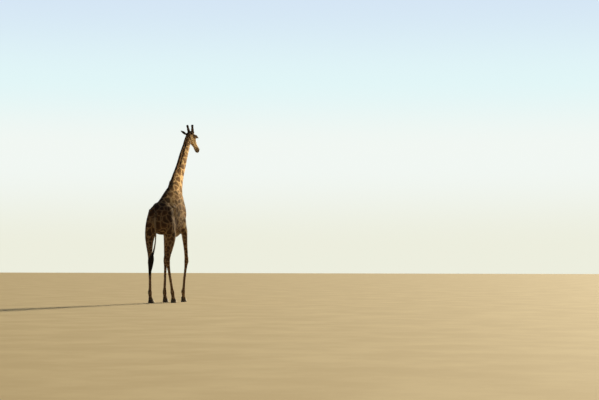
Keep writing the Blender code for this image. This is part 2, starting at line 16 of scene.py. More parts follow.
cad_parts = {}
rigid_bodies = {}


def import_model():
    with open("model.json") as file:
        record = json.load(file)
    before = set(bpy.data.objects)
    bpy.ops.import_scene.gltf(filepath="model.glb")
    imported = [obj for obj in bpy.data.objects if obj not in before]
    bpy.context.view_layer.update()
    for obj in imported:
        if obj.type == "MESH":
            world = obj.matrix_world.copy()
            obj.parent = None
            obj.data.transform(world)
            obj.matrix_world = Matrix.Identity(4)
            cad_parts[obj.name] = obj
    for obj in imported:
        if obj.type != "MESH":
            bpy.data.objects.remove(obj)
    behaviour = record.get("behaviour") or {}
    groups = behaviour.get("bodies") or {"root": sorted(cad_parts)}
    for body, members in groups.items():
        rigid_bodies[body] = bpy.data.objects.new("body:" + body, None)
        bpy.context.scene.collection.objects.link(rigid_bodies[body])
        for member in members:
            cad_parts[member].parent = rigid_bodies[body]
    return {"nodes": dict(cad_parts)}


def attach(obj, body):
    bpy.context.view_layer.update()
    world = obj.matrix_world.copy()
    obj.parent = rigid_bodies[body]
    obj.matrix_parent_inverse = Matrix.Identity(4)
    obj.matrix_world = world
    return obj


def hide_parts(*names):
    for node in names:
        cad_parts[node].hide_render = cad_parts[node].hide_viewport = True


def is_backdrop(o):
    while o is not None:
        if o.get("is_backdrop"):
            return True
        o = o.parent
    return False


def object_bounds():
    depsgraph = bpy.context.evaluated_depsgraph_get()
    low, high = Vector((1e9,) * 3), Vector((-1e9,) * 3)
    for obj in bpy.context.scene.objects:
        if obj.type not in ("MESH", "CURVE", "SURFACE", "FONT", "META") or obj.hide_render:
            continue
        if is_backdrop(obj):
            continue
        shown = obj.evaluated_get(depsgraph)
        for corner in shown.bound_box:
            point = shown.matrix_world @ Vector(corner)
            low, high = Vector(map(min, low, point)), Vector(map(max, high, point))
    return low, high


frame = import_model()
CAD_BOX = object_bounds()
rng = np.random.default_rng(20)
print("solids:", len(frame["nodes"]), "height:", round(CAD_BOX[1][2], 3), "m")

# %% [markdown]
# ## Camera
# The animal is seen from behind and a little to its right, from far away, through a long lens.
# A far camera flattens the legs' depth, so near and far hooves stand almost level.
# The camera is set by named distances and turns, so that each can be changed by itself.

# %% Camera
BODY_MIDDLE = Vector((0.0, 0.613, 0.0))
VIEW_TURN = math.radians(23)
CAMERA_DISTANCE, CAMERA_HEIGHT = 40.3, 1.15
ASIDE_TURN, UPWARD_TILT = math.radians(5.37), math.radians(2.51)
LENS, FILM_WIDTH = 85.0, 36.0

view_ahead = Vector((math.sin(VIEW_TURN), -math.cos(VIEW_TURN), 0.0))
view_right = Vector((-math.cos(VIEW_TURN), -math.sin(VIEW_TURN), 0.0))
camera_data = bpy.data.cameras.new("camera")
camera_data.lens = LENS
camera_data.sensor_width = FILM_WIDTH
camera_data.clip_end = 200.0
camera = bpy.data.objects.new("camera", camera_data)
bpy.context.scene.collection.objects.link(camera)
level_gaze = view_ahead * math.cos(ASIDE_TURN) + view_right * math.sin(ASIDE_TURN)
gaze = level_gaze * math.cos(UPWARD_TILT) + Vector((0, 0, math.sin(UPWARD_TILT)))
camera.location = BODY_MIDDLE - view_ahead * CAMERA_DISTANCE + Vector((0, 0, CAMERA_HEIGHT))
camera.rotation_euler = gaze.to_track_quat("-Z", "Y").to_euler()
bpy.context.scene.camera = camera
print("camera at", [round(c, 2) for c in camera.location])

# %% [markdown]
# ## Floor
# The floor is a plain pale sheet, wide enough to reach a far and level horizon.
# An operator acts on all that is selected, so everything is deselected before one is called.

# %% Floor
def clear_selection():
    """Deselects everything, so that an operator works on one piece alone."""
    for item in bpy.context.view_layer.objects:
        item.select_set(False)


def make_active(piece):
    """Selects one piece alone."""
    clear_selection()
    piece.select_set(True)
    bpy.context.view_layer.objects.active = piece


FLOOR_SIZE = 160.0
clear_selection()
bpy.ops.mesh.primitive_plane_add(size=FLOOR_SIZE, location=(0, -20, 0))
floor = bpy.context.object
floor.name = "floor"
bpy.ops.object.transform_apply(location=True, rotation=False, scale=False)
floor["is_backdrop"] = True
print("floor:", FLOOR_SIZE, "m wide")


# %% [markdown]
# ## Light
# A low warm light shines from ahead of the animal and to its right, and rims its breast and legs.
# A second warm lamp shines on the side of the neck alone, which stands golden against the dark body.
# A wide weak lamp from behind it and the whole blue sky fill the rest, so the dark flank keeps its markings.

# %% Lights
def light(name, kind, away, target, colour, **settings):
    """A lamp that shines towards a point from a place away from it."""
    data = bpy.data.lights.new(name, kind)
    data.color = colour
    for key, value in settings.items():
        setattr(data, key, value)
    lamp = bpy.data.objects.new(name, data)
    bpy.context.scene.collection.objects.link(lamp)
    lamp.location = Vector(target) + away
    lamp.rotation_euler = (-away).to_track_quat("-Z", "Y").to_euler()


CHEST = Vector((0.0, 0.2, 2.8))
LOWER_NECK = Vector((0.0, -0.35, 3.55))
from_behind = Vector((0, 0, 5.0)) - view_right * 7.0 - view_ahead * 9.0
from_ahead = Vector((0, 0, 2.6)) + view_right * 5.5 + view_ahead * 8.4
from_beside = Vector((0, 0, 1.4)) + view_right * 12.0 - view_ahead * 0.6
light("fill_lamp", "AREA", from_behind, CHEST, (0.60, 0.80, 1.0), energy=16.0, size=7.0)
light("key_lamp", "SUN", from_ahead, CHEST, (1.0, 0.85, 0.58), energy=7.5, angle=math.radians(9))
light("neck_lamp", "SPOT", from_beside, LOWER_NECK, (1.0, 0.88, 0.50), energy=36000.0,
      spot_size=math.radians(12.5), spot_blend=0.9, shadow_soft_size=0.6)
world = bpy.data.worlds.new("sky")
world.use_nodes = True
bpy.context.scene.world = world
bpy.context.scene.view_settings.view_transform = "Standard"
print("lights: key, neck, fill and sky")

# %% [markdown]
# ## Paint on expressions
# A coat is a sum of many small patterns, and each is a number that changes over the surface.
# A small class wraps such a number, so that a pattern reads as a line of arithmetic.
# Each operator adds the Math node that it stands for.

# %% Paint class
class Paint:
    """A socket in a material. Arithmetic on it adds Math nodes."""

    def __init__(self, tree, socket=None):
        self.tree = tree
        self.socket = socket

    def add(self, kind, settings=None, values=None, output=0):
        """Adds a node: its settings are set first, then its sockets get values or links."""
        node = self.tree.nodes.new(kind)
        for name, value in (settings or {}).items():
            setattr(node, name, value)
        for name, value in (values or {}).items():
            if isinstance(value, Paint):
                self.tree.links.new(value.socket, node.inputs[name])
            else:
                node.inputs[name].default_value = value
        return Paint(self.tree, node.outputs[output])

    def sum_of(self, operation, first, second):
        return self.add("ShaderNodeMath", {"operation": operation}, {0: first, 1: second})

    def __add__(self, other):
        return self.sum_of("ADD", self, other)

    def __radd__(self, other):
        return self.sum_of("ADD", other, self)

    def __sub__(self, other):
        return self.sum_of("SUBTRACT", self, other)

    def __rsub__(self, other):
        return self.sum_of("SUBTRACT", other, self)

    def __mul__(self, other):
        return self.sum_of("MULTIPLY", self, other)

    def __rmul__(self, other):
        return self.sum_of("MULTIPLY", other, self)

    def __truediv__(self, other):
        return self.sum_of("DIVIDE", self, other)

    def __pow__(self, other):
        return self.sum_of("POWER", self, other)

    def larger(self, other):
        return self.sum_of("MAXIMUM", self, other)

    def smaller(self, other):
        return self.sum_of("MINIMUM", self, other)

    def magnitude(self):
        return self.sum_of("ABSOLUTE", self, 0.0)

    def wave(self):
        return self.sum_of("SINE", self, 0.0)

    def rise(self, low, high):
        """0 below low, 1 above high, smooth between. It falls when low is the larger."""
        values = {"Value": self, "From Min": min(low, high), "From Max": max(low, high)}
        step = self.add("ShaderNodeMapRange", {"interpolation_type": "SMOOTHSTEP"}, values)
        return step if low < high else 1.0 - step

    def parts(self):
        """The x, y and z of a vector."""
        node = self.add("ShaderNodeSeparateXYZ", None, {0: self}).socket.node
        return [Paint(self.tree, socket) for socket in node.outputs]

    def moved(self, operation, other, output=0):
        """Vector arithmetic."""
        settings = {"operation": operation}
        return self.add("ShaderNodeVectorMath", settings, {0: self, 1: other}, output)

    def stretched(self, factor):
        """The vector times a number."""
        settings = {"operation": "SCALE"}
        return self.add("ShaderNodeVectorMath", settings, {0: self, "Scale": factor})

    def gap_to(self, first, last):
        """How far this place is from a straight line between two points."""
        step = Vector(last) - Vector(first)
        arm = self.moved("SUBTRACT", tuple(first))
        share = (arm.moved("DOT_PRODUCT", tuple(step), 1) / step.length_squared).larger(0.0).smaller(1.0)
        along = self.add("ShaderNodeVectorMath", {"operation": "SCALE"}, {0: tuple(step), "Scale": share})
        return arm.moved("DISTANCE", along, 1)

    def toward(self, colour, share):
        """This colour mixed towards another by a share."""
        mix = {0: share, 6: self, 7: colour if isinstance(colour, Paint) else (*colour, 1.0)}
        return self.add("ShaderNodeMix", {"data_type": "RGBA"}, mix, 2)

    def noise(self, scale, detail=2.0, roughness=0.5, output=0):
        """Cloudy noise at this place, from 0 to 1, or as a colour with output 1."""
        values = {"Vector": self, "Scale": scale, "Detail": detail, "Roughness": roughness}
        return self.add("ShaderNodeTexNoise", None, values, output)

    def cells(self, scale, feature="F1", output=0, randomness=1.0):
        """Cells scattered evenly: their distance or their own random colour."""
        values = {"Vector": self, "Scale": scale, "Randomness": randomness}
        return self.add("ShaderNodeTexVoronoi", {"feature": feature}, values, output)


def new_material(name, roughness=0.7, specular=0.3):
    """A material, its main shader, and the object's own coordinates to paint by."""
    material = bpy.data.materials.new(name)
    material.use_nodes = True
    tree = material.node_tree
    shader = tree.nodes["Principled BSDF"]
    shader.inputs["Roughness"].default_value = roughness
    shader.inputs["Specular IOR Level"].default_value = specular
    place = Paint(tree).add("ShaderNodeTexCoord", output=3)
    return material, shader, place


def put(shader, name, paint):
    """Links a paint to one of the shader's sockets."""
    paint.tree.links.new(paint.socket, shader.inputs[name])


def colour_of(place, colour):
    """A plain colour to start a mix from."""
    mix = {0: 0.0, 6: (*colour, 1.0), 7: (*colour, 1.0)}
    return place.add("ShaderNodeMix", {"data_type": "RGBA"}, mix, 2)


def rough_surface(shader, height, distance, strength=1.0):
    """Bumps the surface by a height paint, whose unit is distance in metres."""
    bump = height.add("ShaderNodeBump", None,
                      {"Strength": strength, "Distance": distance, "Height": height})
    put(shader, "Normal", bump)


print("paint class ready")

# %% [markdown]
# ## Paint for the floor and the sky
# The sand gets soft dapples. The sky is pale and warm at the horizon and blue above, by height alone.
# It is shown brighter than it shines, as behind a subject that stands against the light,
# and its light on the animal is bluer than it looks, as in the shade on a clear day.

# %% Floor and sky paint
SAND, SAND_PALE = (0.59, 0.475, 0.275), (0.66, 0.545, 0.33)
SKY_LEVEL = (0.89, 0.90, 0.77)
SKY_BANDS = (  # colour, and the two heights of the look between which it takes over
    ((0.93, 0.98, 0.94), 0.01, 0.07),
    ((0.80, 0.97, 0.98), 0.08, 0.13),
    ((0.70, 0.83, 0.96), 0.12, 0.19),
)
sand, sand_shader, ground = new_material("pale_floor", 0.92, 0.2)
dapple = ground.noise(0.8, 6.0, 0.6).rise(0.35, 0.7)
sand_colour = colour_of(ground, SAND).toward(SAND_PALE, dapple)
put(sand_shader, "Base Color", sand_colour)
floor.data.materials.append(sand)

SKY_SHINES, SKY_SHOWN = 0.095, 0.95
SHADE_BLUE = (0.50, 0.72, 1.0)
sky = world.node_tree.nodes["Background"]
sky_way = Paint(world.node_tree).add("ShaderNodeTexCoord")
elevation = sky_way.parts()[2]
sky_colour = colour_of(sky_way, SKY_LEVEL)
for band, low, high in SKY_BANDS:
    sky_colour = sky_colour.toward(band, elevation.rise(low, high))
shown = sky_way.add("ShaderNodeLightPath")
put(sky, "Color", colour_of(sky_way, SHADE_BLUE).toward(sky_colour, shown))
put(sky, "Strength", SKY_SHINES + (SKY_SHOWN - SKY_SHINES) * shown)
print("floor and sky painted")

# %% [markdown]
# ## Coat pattern
# A giraffe's coat is dark patches on a pale ground, and the pale lines between them stay even in width.
# Voronoi cells give just that: the distance to a cell's edge is small along a net of lines.
# The cells are first pushed about by noise, so that patches get lobes and notches, as on southern giraffes.
# Patches are about a hand's length wide on the body, smaller on the legs and smallest on the face.
# Skin and hair share this one paint, so that every tuft has the colour of the place where it grows.
# The head is turned and bent, so its markings are placed by its own directions: across, back and up.

# %% The head's own directions
HEAD_PLACE = Vector((-0.0107, -1.0691, 4.950))
HEAD_TURN = Matrix.Rotation(math.radians(-10), 3, "Z") @ Matrix.Rotation(math.radians(41), 3, "X")
HEAD_ACROSS, HEAD_BACK, HEAD_UP = HEAD_TURN.col


def in_head(point):
    """A point given across, back and up from the head's own zero, behind the eyes."""
    return HEAD_PLACE + HEAD_TURN @ Vector(point)


def head_parts(place):
    """A painted place given across, back and up from the head's own zero."""
    arm = place.moved("SUBTRACT", HEAD_PLACE)
    return [arm.moved("DOT_PRODUCT", way, 1) for way in (HEAD_ACROSS, HEAD_BACK, HEAD_UP)]


EYE_IN_HEAD = (0.099, -0.207, 0.033)
FACE_MIDDLE, NOSE_MIDDLE = in_head((0.0, -0.33, -0.02)), in_head((0.0, -0.58, -0.06))
NOSTRIL = ((0.020, -0.672, -0.050), (0.036, -0.660, -0.038), (0.050, -0.634, -0.027), (0.053, -0.602, -0.020))
EAR_LINES = {"left": ((0.059, -1.059, 4.905), (0.239, -0.999, 5.030)),
             "right": ((-0.096, -1.069, 4.935), (-0.226, -1.219, 4.825))}
print("nose towards", [round(-c, 2) for c in HEAD_BACK])

# %% Coat colours
# The back patch and top ground colours are darker copies of the coat's colours, painted shade for the upper
# body.
SHADED_BACK_PATCH, FLANK_PATCH, LEG_PATCH = (0.042, 0.026, 0.018), (0.078, 0.043, 0.026), (0.130, 0.068, 0.036)
PATCH_RIM = (0.150, 0.085, 0.047)
BODY_GROUND, LEG_GROUND, BELLY_GROUND = (0.47, 0.320, 0.180), (0.38, 0.258, 0.150), (0.58, 0.455, 0.32)
FACE_GROUND, FACE_BROWN, MUZZLE_GREY = (0.50, 0.345, 0.215), (0.175, 0.090, 0.048), (0.12, 0.088, 0.072)
PATCH_PALE, PATCH_RED = (0.25, 0.130, 0.065), (0.14, 0.058, 0.026)
SHADED_TOP_GROUND, FLECK, DUST = (0.24, 0.165, 0.105), (0.44, 0.29, 0.165), (0.34, 0.245, 0.155)
TAIL_PALE, BREAST_PALE, THROAT_PALE = (0.50, 0.375, 0.245), (0.62, 0.45, 0.28), (0.56, 0.43, 0.31)
CROWN_BROWN, SEAT_BROWN, EAR_BROWN = (0.13, 0.070, 0.040), (0.120, 0.066, 0.038), (0.130, 0.074, 0.044)
EAR_GROUND, EYE_RING, LID_DARK = (0.36, 0.240, 0.145), (0.60, 0.46, 0.32), (0.030, 0.022, 0.019)
# The mouth and nostril dark colours are painted shade in the groove of the mouth and the nostril slits.
LIP_GREY, MOUTH_SHADE = (0.085, 0.060, 0.050), (0.022, 0.015, 0.013)
NOSTRIL_GREY, NOSTRIL_SHADE = (0.060, 0.044, 0.038), (0.012, 0.008, 0.007)
EVENNESS = 0.74
# Cells to the metre, half the pale lines' width, depth of the notches, and where the pattern starts.
TRUNK_NET, LEG_NET, SHIN_NET = (5.7, 0.0055, 0.012, 0.0), (9.6, 0.0042, 0.009, 3.7), (15.0, 0.0034, 0.006, 8.1)


def patch_net(place, scale, line, notch, seed):
    """How far inside a patch a place lies, in metres, below 0 on the pale lines, and the patch's own colour."""
    shifted = place.moved("ADD", (seed, seed * 0.7, -seed))
    broad = shifted.noise(3.1, 1.0, output=1).moved("SUBTRACT", (0.5, 0.5, 0.5))
    fine = shifted.noise(17.0, 1.0, output=1).moved("SUBTRACT", (0.5, 0.5, 0.5))
    pushed = shifted.moved("ADD", broad.stretched(0.11)).moved("ADD", fine.stretched(notch * 2.6))
    edge = pushed.cells(scale, "DISTANCE_TO_EDGE", 0, EVENNESS) / scale
    jagged = pushed.noise(34.0, 2.0) * notch
    own = pushed.cells(scale, "F1", 1, EVENNESS)
    return edge - jagged - line, own


def hide_colour(place):
    """The coat's colour at a place on the body, on skin and hair alike."""
    x, y, z = place.parts()
    across, back, up = head_parts(place)
    legs = (z + place.noise(7.0) * 0.22).rise(2.02, 1.78)
    shins = (z + place.noise(9.0) * 0.16).rise(1.18, 1.00)

    trunk_depth, trunk_own = patch_net(place, *TRUNK_NET)
    leg_depth, leg_own = patch_net(place, *LEG_NET)
    shin_depth, _ = patch_net(place, *SHIN_NET)
    depth = trunk_depth * (1.0 - legs) + (leg_depth * (1.0 - shins) + shin_depth * shins) * legs
    own = trunk_own.toward(leg_own, legs)
    tone, warmth, _ = own.parts()

    # Painted shade: patches and pale lines darken towards the top of the body, where its upper side lies in
    # shade.
    back_shade = (z - (0.62 - y) * 0.36).rise(1.85, 2.75)
    patch = colour_of(place, FLANK_PATCH).toward(SHADED_BACK_PATCH, back_shade * 0.85)
    patch = patch.toward(LEG_PATCH, legs * 0.85)
    rim = colour_of(place, PATCH_RIM).toward(LEG_PATCH, legs)
    core = depth.rise(0.0, 0.030)
    patch = rim.toward(patch, 0.25 + core * 0.75)
    patch = patch.toward(PATCH_PALE, tone * 0.26)
    patch = patch.toward(PATCH_RED, warmth * 0.28)

    ground = colour_of(place, BODY_GROUND).toward(LEG_GROUND, legs)
    ground = ground.toward(SHADED_TOP_GROUND, back_shade * 0.85)
    underside = z.rise(2.06, 1.92) * z.rise(1.66, 1.82) * y.rise(-0.35, -0.15) * y.rise(1.05, 0.85)
    underside = underside * x.magnitude().rise(0.30, 0.20)
    ground = ground.toward(BELLY_GROUND, underside)
    fleck = place.noise(60.0, 3.0).rise(0.35, 0.75)
    ground = ground.toward(FLECK, fleck * 0.30)
    face_share, face = face_colour(place, across, back, up)
    ground = ground.toward(face, face_share)
    depth = depth - (face_share - 0.30) * 0.075 * face_share.rise(0.0, 0.1)
    inside = depth.rise(-0.0012, 0.0022) * (1.0 - underside * 0.75) * (1.0 - face_share.rise(0.70, 0.85))
    coat = ground.toward(patch, inside)

    dusty = z.rise(0.75, 0.25) * place.noise(11.0, 3.0).rise(0.30, 0.75)
    coat = coat.toward(DUST, dusty * 0.40)
    tail = y.rise(1.425, 1.438) * z.rise(2.44, 2.34)
    coat = coat.toward(TAIL_PALE, tail * 0.85)
    breast = y.rise(-0.50, -0.72) * z.rise(2.2, 2.6) * z.rise(4.5, 4.2)
    coat = coat.toward(BREAST_PALE, breast * x.magnitude().rise(0.16, 0.06) * 0.40)
    return head_details(place, coat, across.magnitude(), back, up)


def face_colour(place, across, back, up):
    """Where the face's even coat lies, forwards of the throat, and its colour."""
    wide = across.magnitude()
    reach = place.moved("DISTANCE", FACE_MIDDLE, 1)
    above_throat = (up - back * 0.15).rise(-0.215, -0.150)
    face_share = (back + up * 0.55).rise(0.02, -0.10) * reach.rise(0.54, 0.44) * above_throat
    spots = place.moved("ADD", place.noise(20.0, output=1).stretched(0.03))
    spot_depth = (0.32 - spots.cells(36.0, "F1")) / 36.0
    cheek = (back.rise(-0.42, -0.25) * up.rise(0.10, 0.02))
    face = colour_of(place, FACE_GROUND)
    face = face.toward(FACE_BROWN, spot_depth.rise(-0.001, 0.003) * cheek * 0.75)
    bridge = wide.rise(0.060, 0.030) * up.rise(-0.03, 0.02) * back.rise(0.10, -0.05)
    face = face.toward(FACE_BROWN, bridge * 0.55)
    crown = (up - back * 0.15).rise(0.06, 0.13) * back.rise(-0.36, -0.22)
    face = face.toward(CROWN_BROWN, crown * 0.65)
    under = up.rise(-0.09, -0.14)
    face = face.toward(THROAT_PALE, under * 0.5)
    return face_share, face


def head_details(place, coat, wide, back, up):
    """Horn seats, muzzle, lips, nostrils, eyelids and ears, laid over the coat, with painted shade in the
    mouth's line and the nostril slits.
    """
    folded = place.add("ShaderNodeCombineXYZ", None, {0: wide, 1: back, 2: up})
    seat_edge = place.noise(26.0, 3.0) * 0.030
    horn_seat = (back * 0.80 + up * 0.60 + seat_edge).rise(0.060, 0.080)
    horn_seat = horn_seat * wide.rise(0.115, 0.100) * up.rise(0.05, 0.08)
    coat = coat.toward(SEAT_BROWN, horn_seat * 0.80)
    on_nose = wide.rise(0.13, 0.11) * place.moved("DISTANCE", NOSE_MIDDLE, 1).rise(0.24, 0.20)
    muzzle = (back + place.noise(30.0, 3.0) * 0.05).rise(-0.45, -0.60) * on_nose
    coat = coat.toward(MUZZLE_GREY, muzzle * 0.85)
    mouth_line = (up - ((back + 0.575) * (back + 0.575) - 0.110)).magnitude()
    lip_share = back.rise(-0.450, -0.475) * on_nose
    coat = coat.toward(LIP_GREY, mouth_line.rise(0.024, 0.008) * lip_share * 0.55)
    # Painted shade: near-black along the groove of the mouth.
    coat = coat.toward(MOUTH_SHADE, mouth_line.rise(0.0065, 0.0015) * lip_share * 0.9)
    nostril = folded.gap_to(NOSTRIL[0], NOSTRIL[1]).smaller(folded.gap_to(NOSTRIL[1], NOSTRIL[2]))
    nostril = nostril.smaller(folded.gap_to(NOSTRIL[2], NOSTRIL[3]))
    coat = coat.toward(NOSTRIL_GREY, nostril.rise(0.020, 0.008) * 0.5)
    # Painted shade: near-black inside the nostril slits.
    coat = coat.toward(NOSTRIL_SHADE, nostril.rise(0.0070, 0.0030) * 0.95)
    lids = folded.moved("DISTANCE", EYE_IN_HEAD, 1) + (place.noise(45.0, 3.0) - 0.5) * 0.012
    coat = coat.toward(EYE_RING, lids.rise(0.070, 0.050) * 0.30)
    coat = coat.toward(LID_DARK, lids.rise(0.0415, 0.0345) * 0.92)
    ear_gap = place.gap_to(*EAR_LINES["left"]).smaller(place.gap_to(*EAR_LINES["right"]))
    leaf = ear_gap.rise(0.066, 0.056) * wide.rise(0.114, 0.124) * lids.rise(0.050, 0.062)
    mottled = place.noise(42.0, 3.0).rise(0.40, 0.62)
    ear = colour_of(place, EAR_GROUND).toward(EAR_BROWN, mottled * 0.60)
    return coat.toward(ear, leaf)


print("coat paint ready")

# %% [markdown]
# ## Hide and coat materials
# The hide is matt, with hardly any gloss, because each hair scatters the light.
# Its bump is made of noise that is stretched along the way the hair lies: down the body, and along the face.
# The coat of modelled tufts has the same colours without the bump, because its shape is real.

# %% Hide material
def fur_height(place):
    """Short hair as long fine streaks that run down the body, with broad soft folds under it."""
    x, y, z = place.parts()
    across, back, up = head_parts(place)
    down = place.add("ShaderNodeCombineXYZ", None, {0: x * 330.0, 1: y * 330.0, 2: z * 62.0})
    turned = place.add("ShaderNodeCombineXYZ", None, {0: across * 620.0, 1: back * 120.0, 2: up * 620.0})
    near_face = place.moved("DISTANCE", FACE_MIDDLE, 1).rise(0.54, 0.46)
    streaks = down.noise(1.0, 3.0, 0.62) * (1.0 - near_face) + turned.noise(1.0, 3.0, 0.62) * near_face
    clumps = down.moved("MULTIPLY", (0.16, 0.16, 0.2)).noise(1.0, 2.0)
    folds = place.noise(19.0, 4.0, 0.55)
    return streaks * 0.55 + clumps * 0.55 + folds * 0.9


hide, hide_shader, hide_place = new_material("giraffe_hide", 0.80, 0.10)
hide_shader.inputs["Sheen Weight"].default_value = 0.04
hide_shader.inputs["Sheen Roughness"].default_value = 0.45
hide_shader.inputs["Sheen Tint"].default_value = (1.0, 0.86, 0.70, 1.0)
hair_streak = hide_place.noise(240.0, 2.0, 0.6)
shade = hide_colour(hide_place).toward((0.02, 0.013, 0.009), hair_streak.rise(0.62, 0.30) * 0.16)
put(hide_shader, "Base Color", shade)
put(hide_shader, "Roughness", 0.70 + hide_place.noise(45.0, 3.0) * 0.22)
rough_surface(hide_shader, fur_height(hide_place), 0.0045, 0.75)
print("hide nodes:", len(hide.node_tree.nodes))

# %% Coat material
coat_paint, coat_shader, coat_place = new_material("short_coat", 0.80, 0.12)
coat_shader.inputs["Sheen Weight"].default_value = 0.04
put(coat_shader, "Base Color", hide_colour(coat_place))
put(coat_shader, "Roughness", 0.70 + coat_place.noise(120.0, 2.0) * 0.22)
print("coat nodes:", len(coat_paint.node_tree.nodes))

# %% [markdown]
# ## One skin from the flesh solids
# The frame holds the body as separate closed solids, with facets and thin gaps between them.
# A real animal has one skin, so the solids are copied, swollen until they touch, and fused by a voxel remesh.
# Averaging then rounds the facets away. Plain averaging would also thin the legs and the muzzle,
# so what a second averaging takes away is added back.
# A copy is made of each solid, because the frame's own meshes are never changed.

# %% Copy and fuse
FLESH = ("trunk", "neck", "head", "ear_left", "ear_right", "tail",
         "leg_front_left", "leg_front_right", "leg_hind_left", "leg_hind_right")
VOXEL = 0.0062
GAP_SWELL, EAR_SWELL = 0.0010, 0.0022
EYE_RADIUS = 0.028
EYE_PLACES = {"left": in_head(EYE_IN_HEAD), "right": in_head((-EYE_IN_HEAD[0], *EYE_IN_HEAD[1:]))}


def copy_of(node, name):
    """A merged copy of a CAD solid, as a piece of its own."""
    piece = bpy.data.objects.new(name, frame["nodes"][node].data.copy())
    bpy.context.scene.collection.objects.link(piece)
    piece.data.materials.clear()
    make_active(piece)
    bpy.ops.object.mode_set(mode="EDIT")
    bpy.ops.mesh.select_all(action="SELECT")
    bpy.ops.mesh.remove_doubles(threshold=0.00005)
    bpy.ops.object.mode_set(mode="OBJECT")
    return piece


def joined(pieces, name):
    """Several pieces as one."""
    clear_selection()
    for piece in pieces:
        piece.select_set(True)
    bpy.context.view_layer.objects.active = pieces[0]
    if len(pieces) > 1:
        bpy.ops.object.join()
    pieces[0].name = name
    return pieces[0]


def apply_modifier(piece, kind, **settings):
    """Adds a modifier, sets it and applies it."""
    make_active(piece)
    modifier = piece.modifiers.new(kind.lower(), kind)
    for key, value in settings.items():
        setattr(modifier, key, value)
    bpy.ops.object.modifier_apply(modifier=modifier.name)


flesh = [copy_of(node, "flesh_" + node) for node in FLESH]
for piece in flesh:
    swell = EAR_SWELL if "ear" in piece.name else GAP_SWELL
    apply_modifier(piece, "DISPLACE", strength=swell, mid_level=0.0)
clear_selection()
plugs = []
for place in EYE_PLACES.values():
    bpy.ops.mesh.primitive_uv_sphere_add(segments=32, ring_count=16, radius=EYE_RADIUS * 0.98, location=place)
    plugs.append(bpy.context.object)
    bpy.ops.object.transform_apply(location=True, rotation=True, scale=True)
skin = joined(flesh + plugs, "skin")
apply_modifier(skin, "REMESH", mode="VOXEL", voxel_size=VOXEL, adaptivity=0.0)
print("skin after the remesh:", len(skin.data.vertices), "points")

# %% [markdown]
# ## Masks
# To sculpt by code, a mesh's points are read as one array, moved by arithmetic, and written back.
# A mask is a number for each point, 1 on a part of the body and 0 off it, with a soft edge between.
# The ears' mask needs care, because an ear lies close to the cheek: it looks for the nearest ear solid.

# %% Points and normals
def points_of(piece):
    """A mesh's points as an array."""
    flat = np.empty(len(piece.data.vertices) * 3, dtype=np.float32)
    piece.data.vertices.foreach_get("co", flat)
    return flat.reshape(-1, 3).astype(float)


def set_points(piece, points):
    """Writes the points back."""
    piece.data.vertices.foreach_set("co", points.astype(np.float32).ravel())
    piece.data.update()


def normals_of(piece):
    """The direction that each point faces."""
    flat = np.empty(len(piece.data.vertices) * 3, dtype=np.float32)
    piece.data.vertex_normals.foreach_get("vector", flat)
    return flat.reshape(-1, 3).astype(float)


def rise(value, low, high):
    """0 below low, 1 above high, smooth between, for arrays. It falls when low is the larger."""
    share = np.clip((value - low) / (high - low), 0.0, 1.0)
    return share * share * (3.0 - 2.0 * share)


def unit(vectors):
    """Vectors made one metre long."""
    return vectors / np.maximum(np.linalg.norm(vectors, axis=-1, keepdims=True), 1e-9)


print("skin box:", points_of(skin).min(axis=0).round(2), points_of(skin).max(axis=0).round(2))

# %% Head and ear masks
def head_points(points):
    """Points given across, back and up from the head's own zero."""
    return (points - np.array(HEAD_PLACE)) @ np.array(HEAD_TURN)


def in_world(local):
    """The other way round: head points put back in the scene."""
    return np.array(HEAD_PLACE) + local @ np.array(HEAD_TURN).T


def one_side(local):
    """Head points with the right side laid over the left."""
    return np.column_stack([np.abs(local[:, 0]), local[:, 1:]])


def head_share(points):
    """1 on the head, 0 on the body, with a soft edge below the throat."""
    local = head_points(points)
    reach = np.sqrt(local[:, 0] ** 2 + (local[:, 1] + 0.26) ** 2 + (local[:, 2] + 0.02) ** 2)
    return rise(reach, 0.58, 0.46)


EAR_REACH = 0.062
EAR_TREES = {}
for side in EAR_LINES:
    solid = frame["nodes"]["ear_" + side].data
    EAR_TREES[side] = BVHTree.FromPolygons([v.co for v in solid.vertices], [f.vertices for f in solid.polygons])


def ear_place(points, side):
    """A point's share along an ear, its distance from the ear's line, and the way out from the line."""
    root, tip = np.array(EAR_LINES[side])
    axis = (tip - root) / np.linalg.norm(tip - root)
    along = (points - root) @ axis
    out = points - root - along[:, None] * axis
    return along / np.linalg.norm(tip - root), np.linalg.norm(out, axis=1), out


def near_ears(points, first_share=0.0):
    """1 on the thin leaves of the ears, from a share of their length to the tip."""
    found = np.zeros(len(points))
    for side in EAR_LINES:
        share, distance, _ = ear_place(points, side)
        here = rise(distance, EAR_REACH + 0.012, EAR_REACH)
        here *= rise(share, first_share - 0.02, first_share + 0.10) * rise(share, 1.15, 1.08)
        for index in np.nonzero(here > 0)[0]:
            gap = EAR_TREES[side].find_nearest(Vector(points[index]))[3]
            here[index] *= 1.0 if gap < 0.007 else max(0.0, (0.012 - gap) / 0.005)
        found = np.maximum(found, here)
    return found


def set_weights(piece, name, weights):
    """A vertex group from an array, in steps of a twentieth."""
    group = piece.vertex_groups.new(name=name)
    steps = np.round(np.clip(weights, 0, 1) * 20).astype(int)
    for step in np.unique(steps):
        if step > 0:
            group.add(np.nonzero(steps == step)[0].tolist(), step / 20, "REPLACE")


print("head points:", int((head_share(points_of(skin)) > 0.5).sum()))

# %% [markdown]
# ## A round skin
# Averaging each point with its neighbours takes the facets away. The legs, face and tail get less of it.

# %% Round the facets away
SMOOTH_ROUNDS = int(100 * (0.0062 / VOXEL) ** 2)
LEG_HARDNESS, HEAD_SOFTNESS, THIN_SOFTNESS = 0.66, 0.24, 0.12


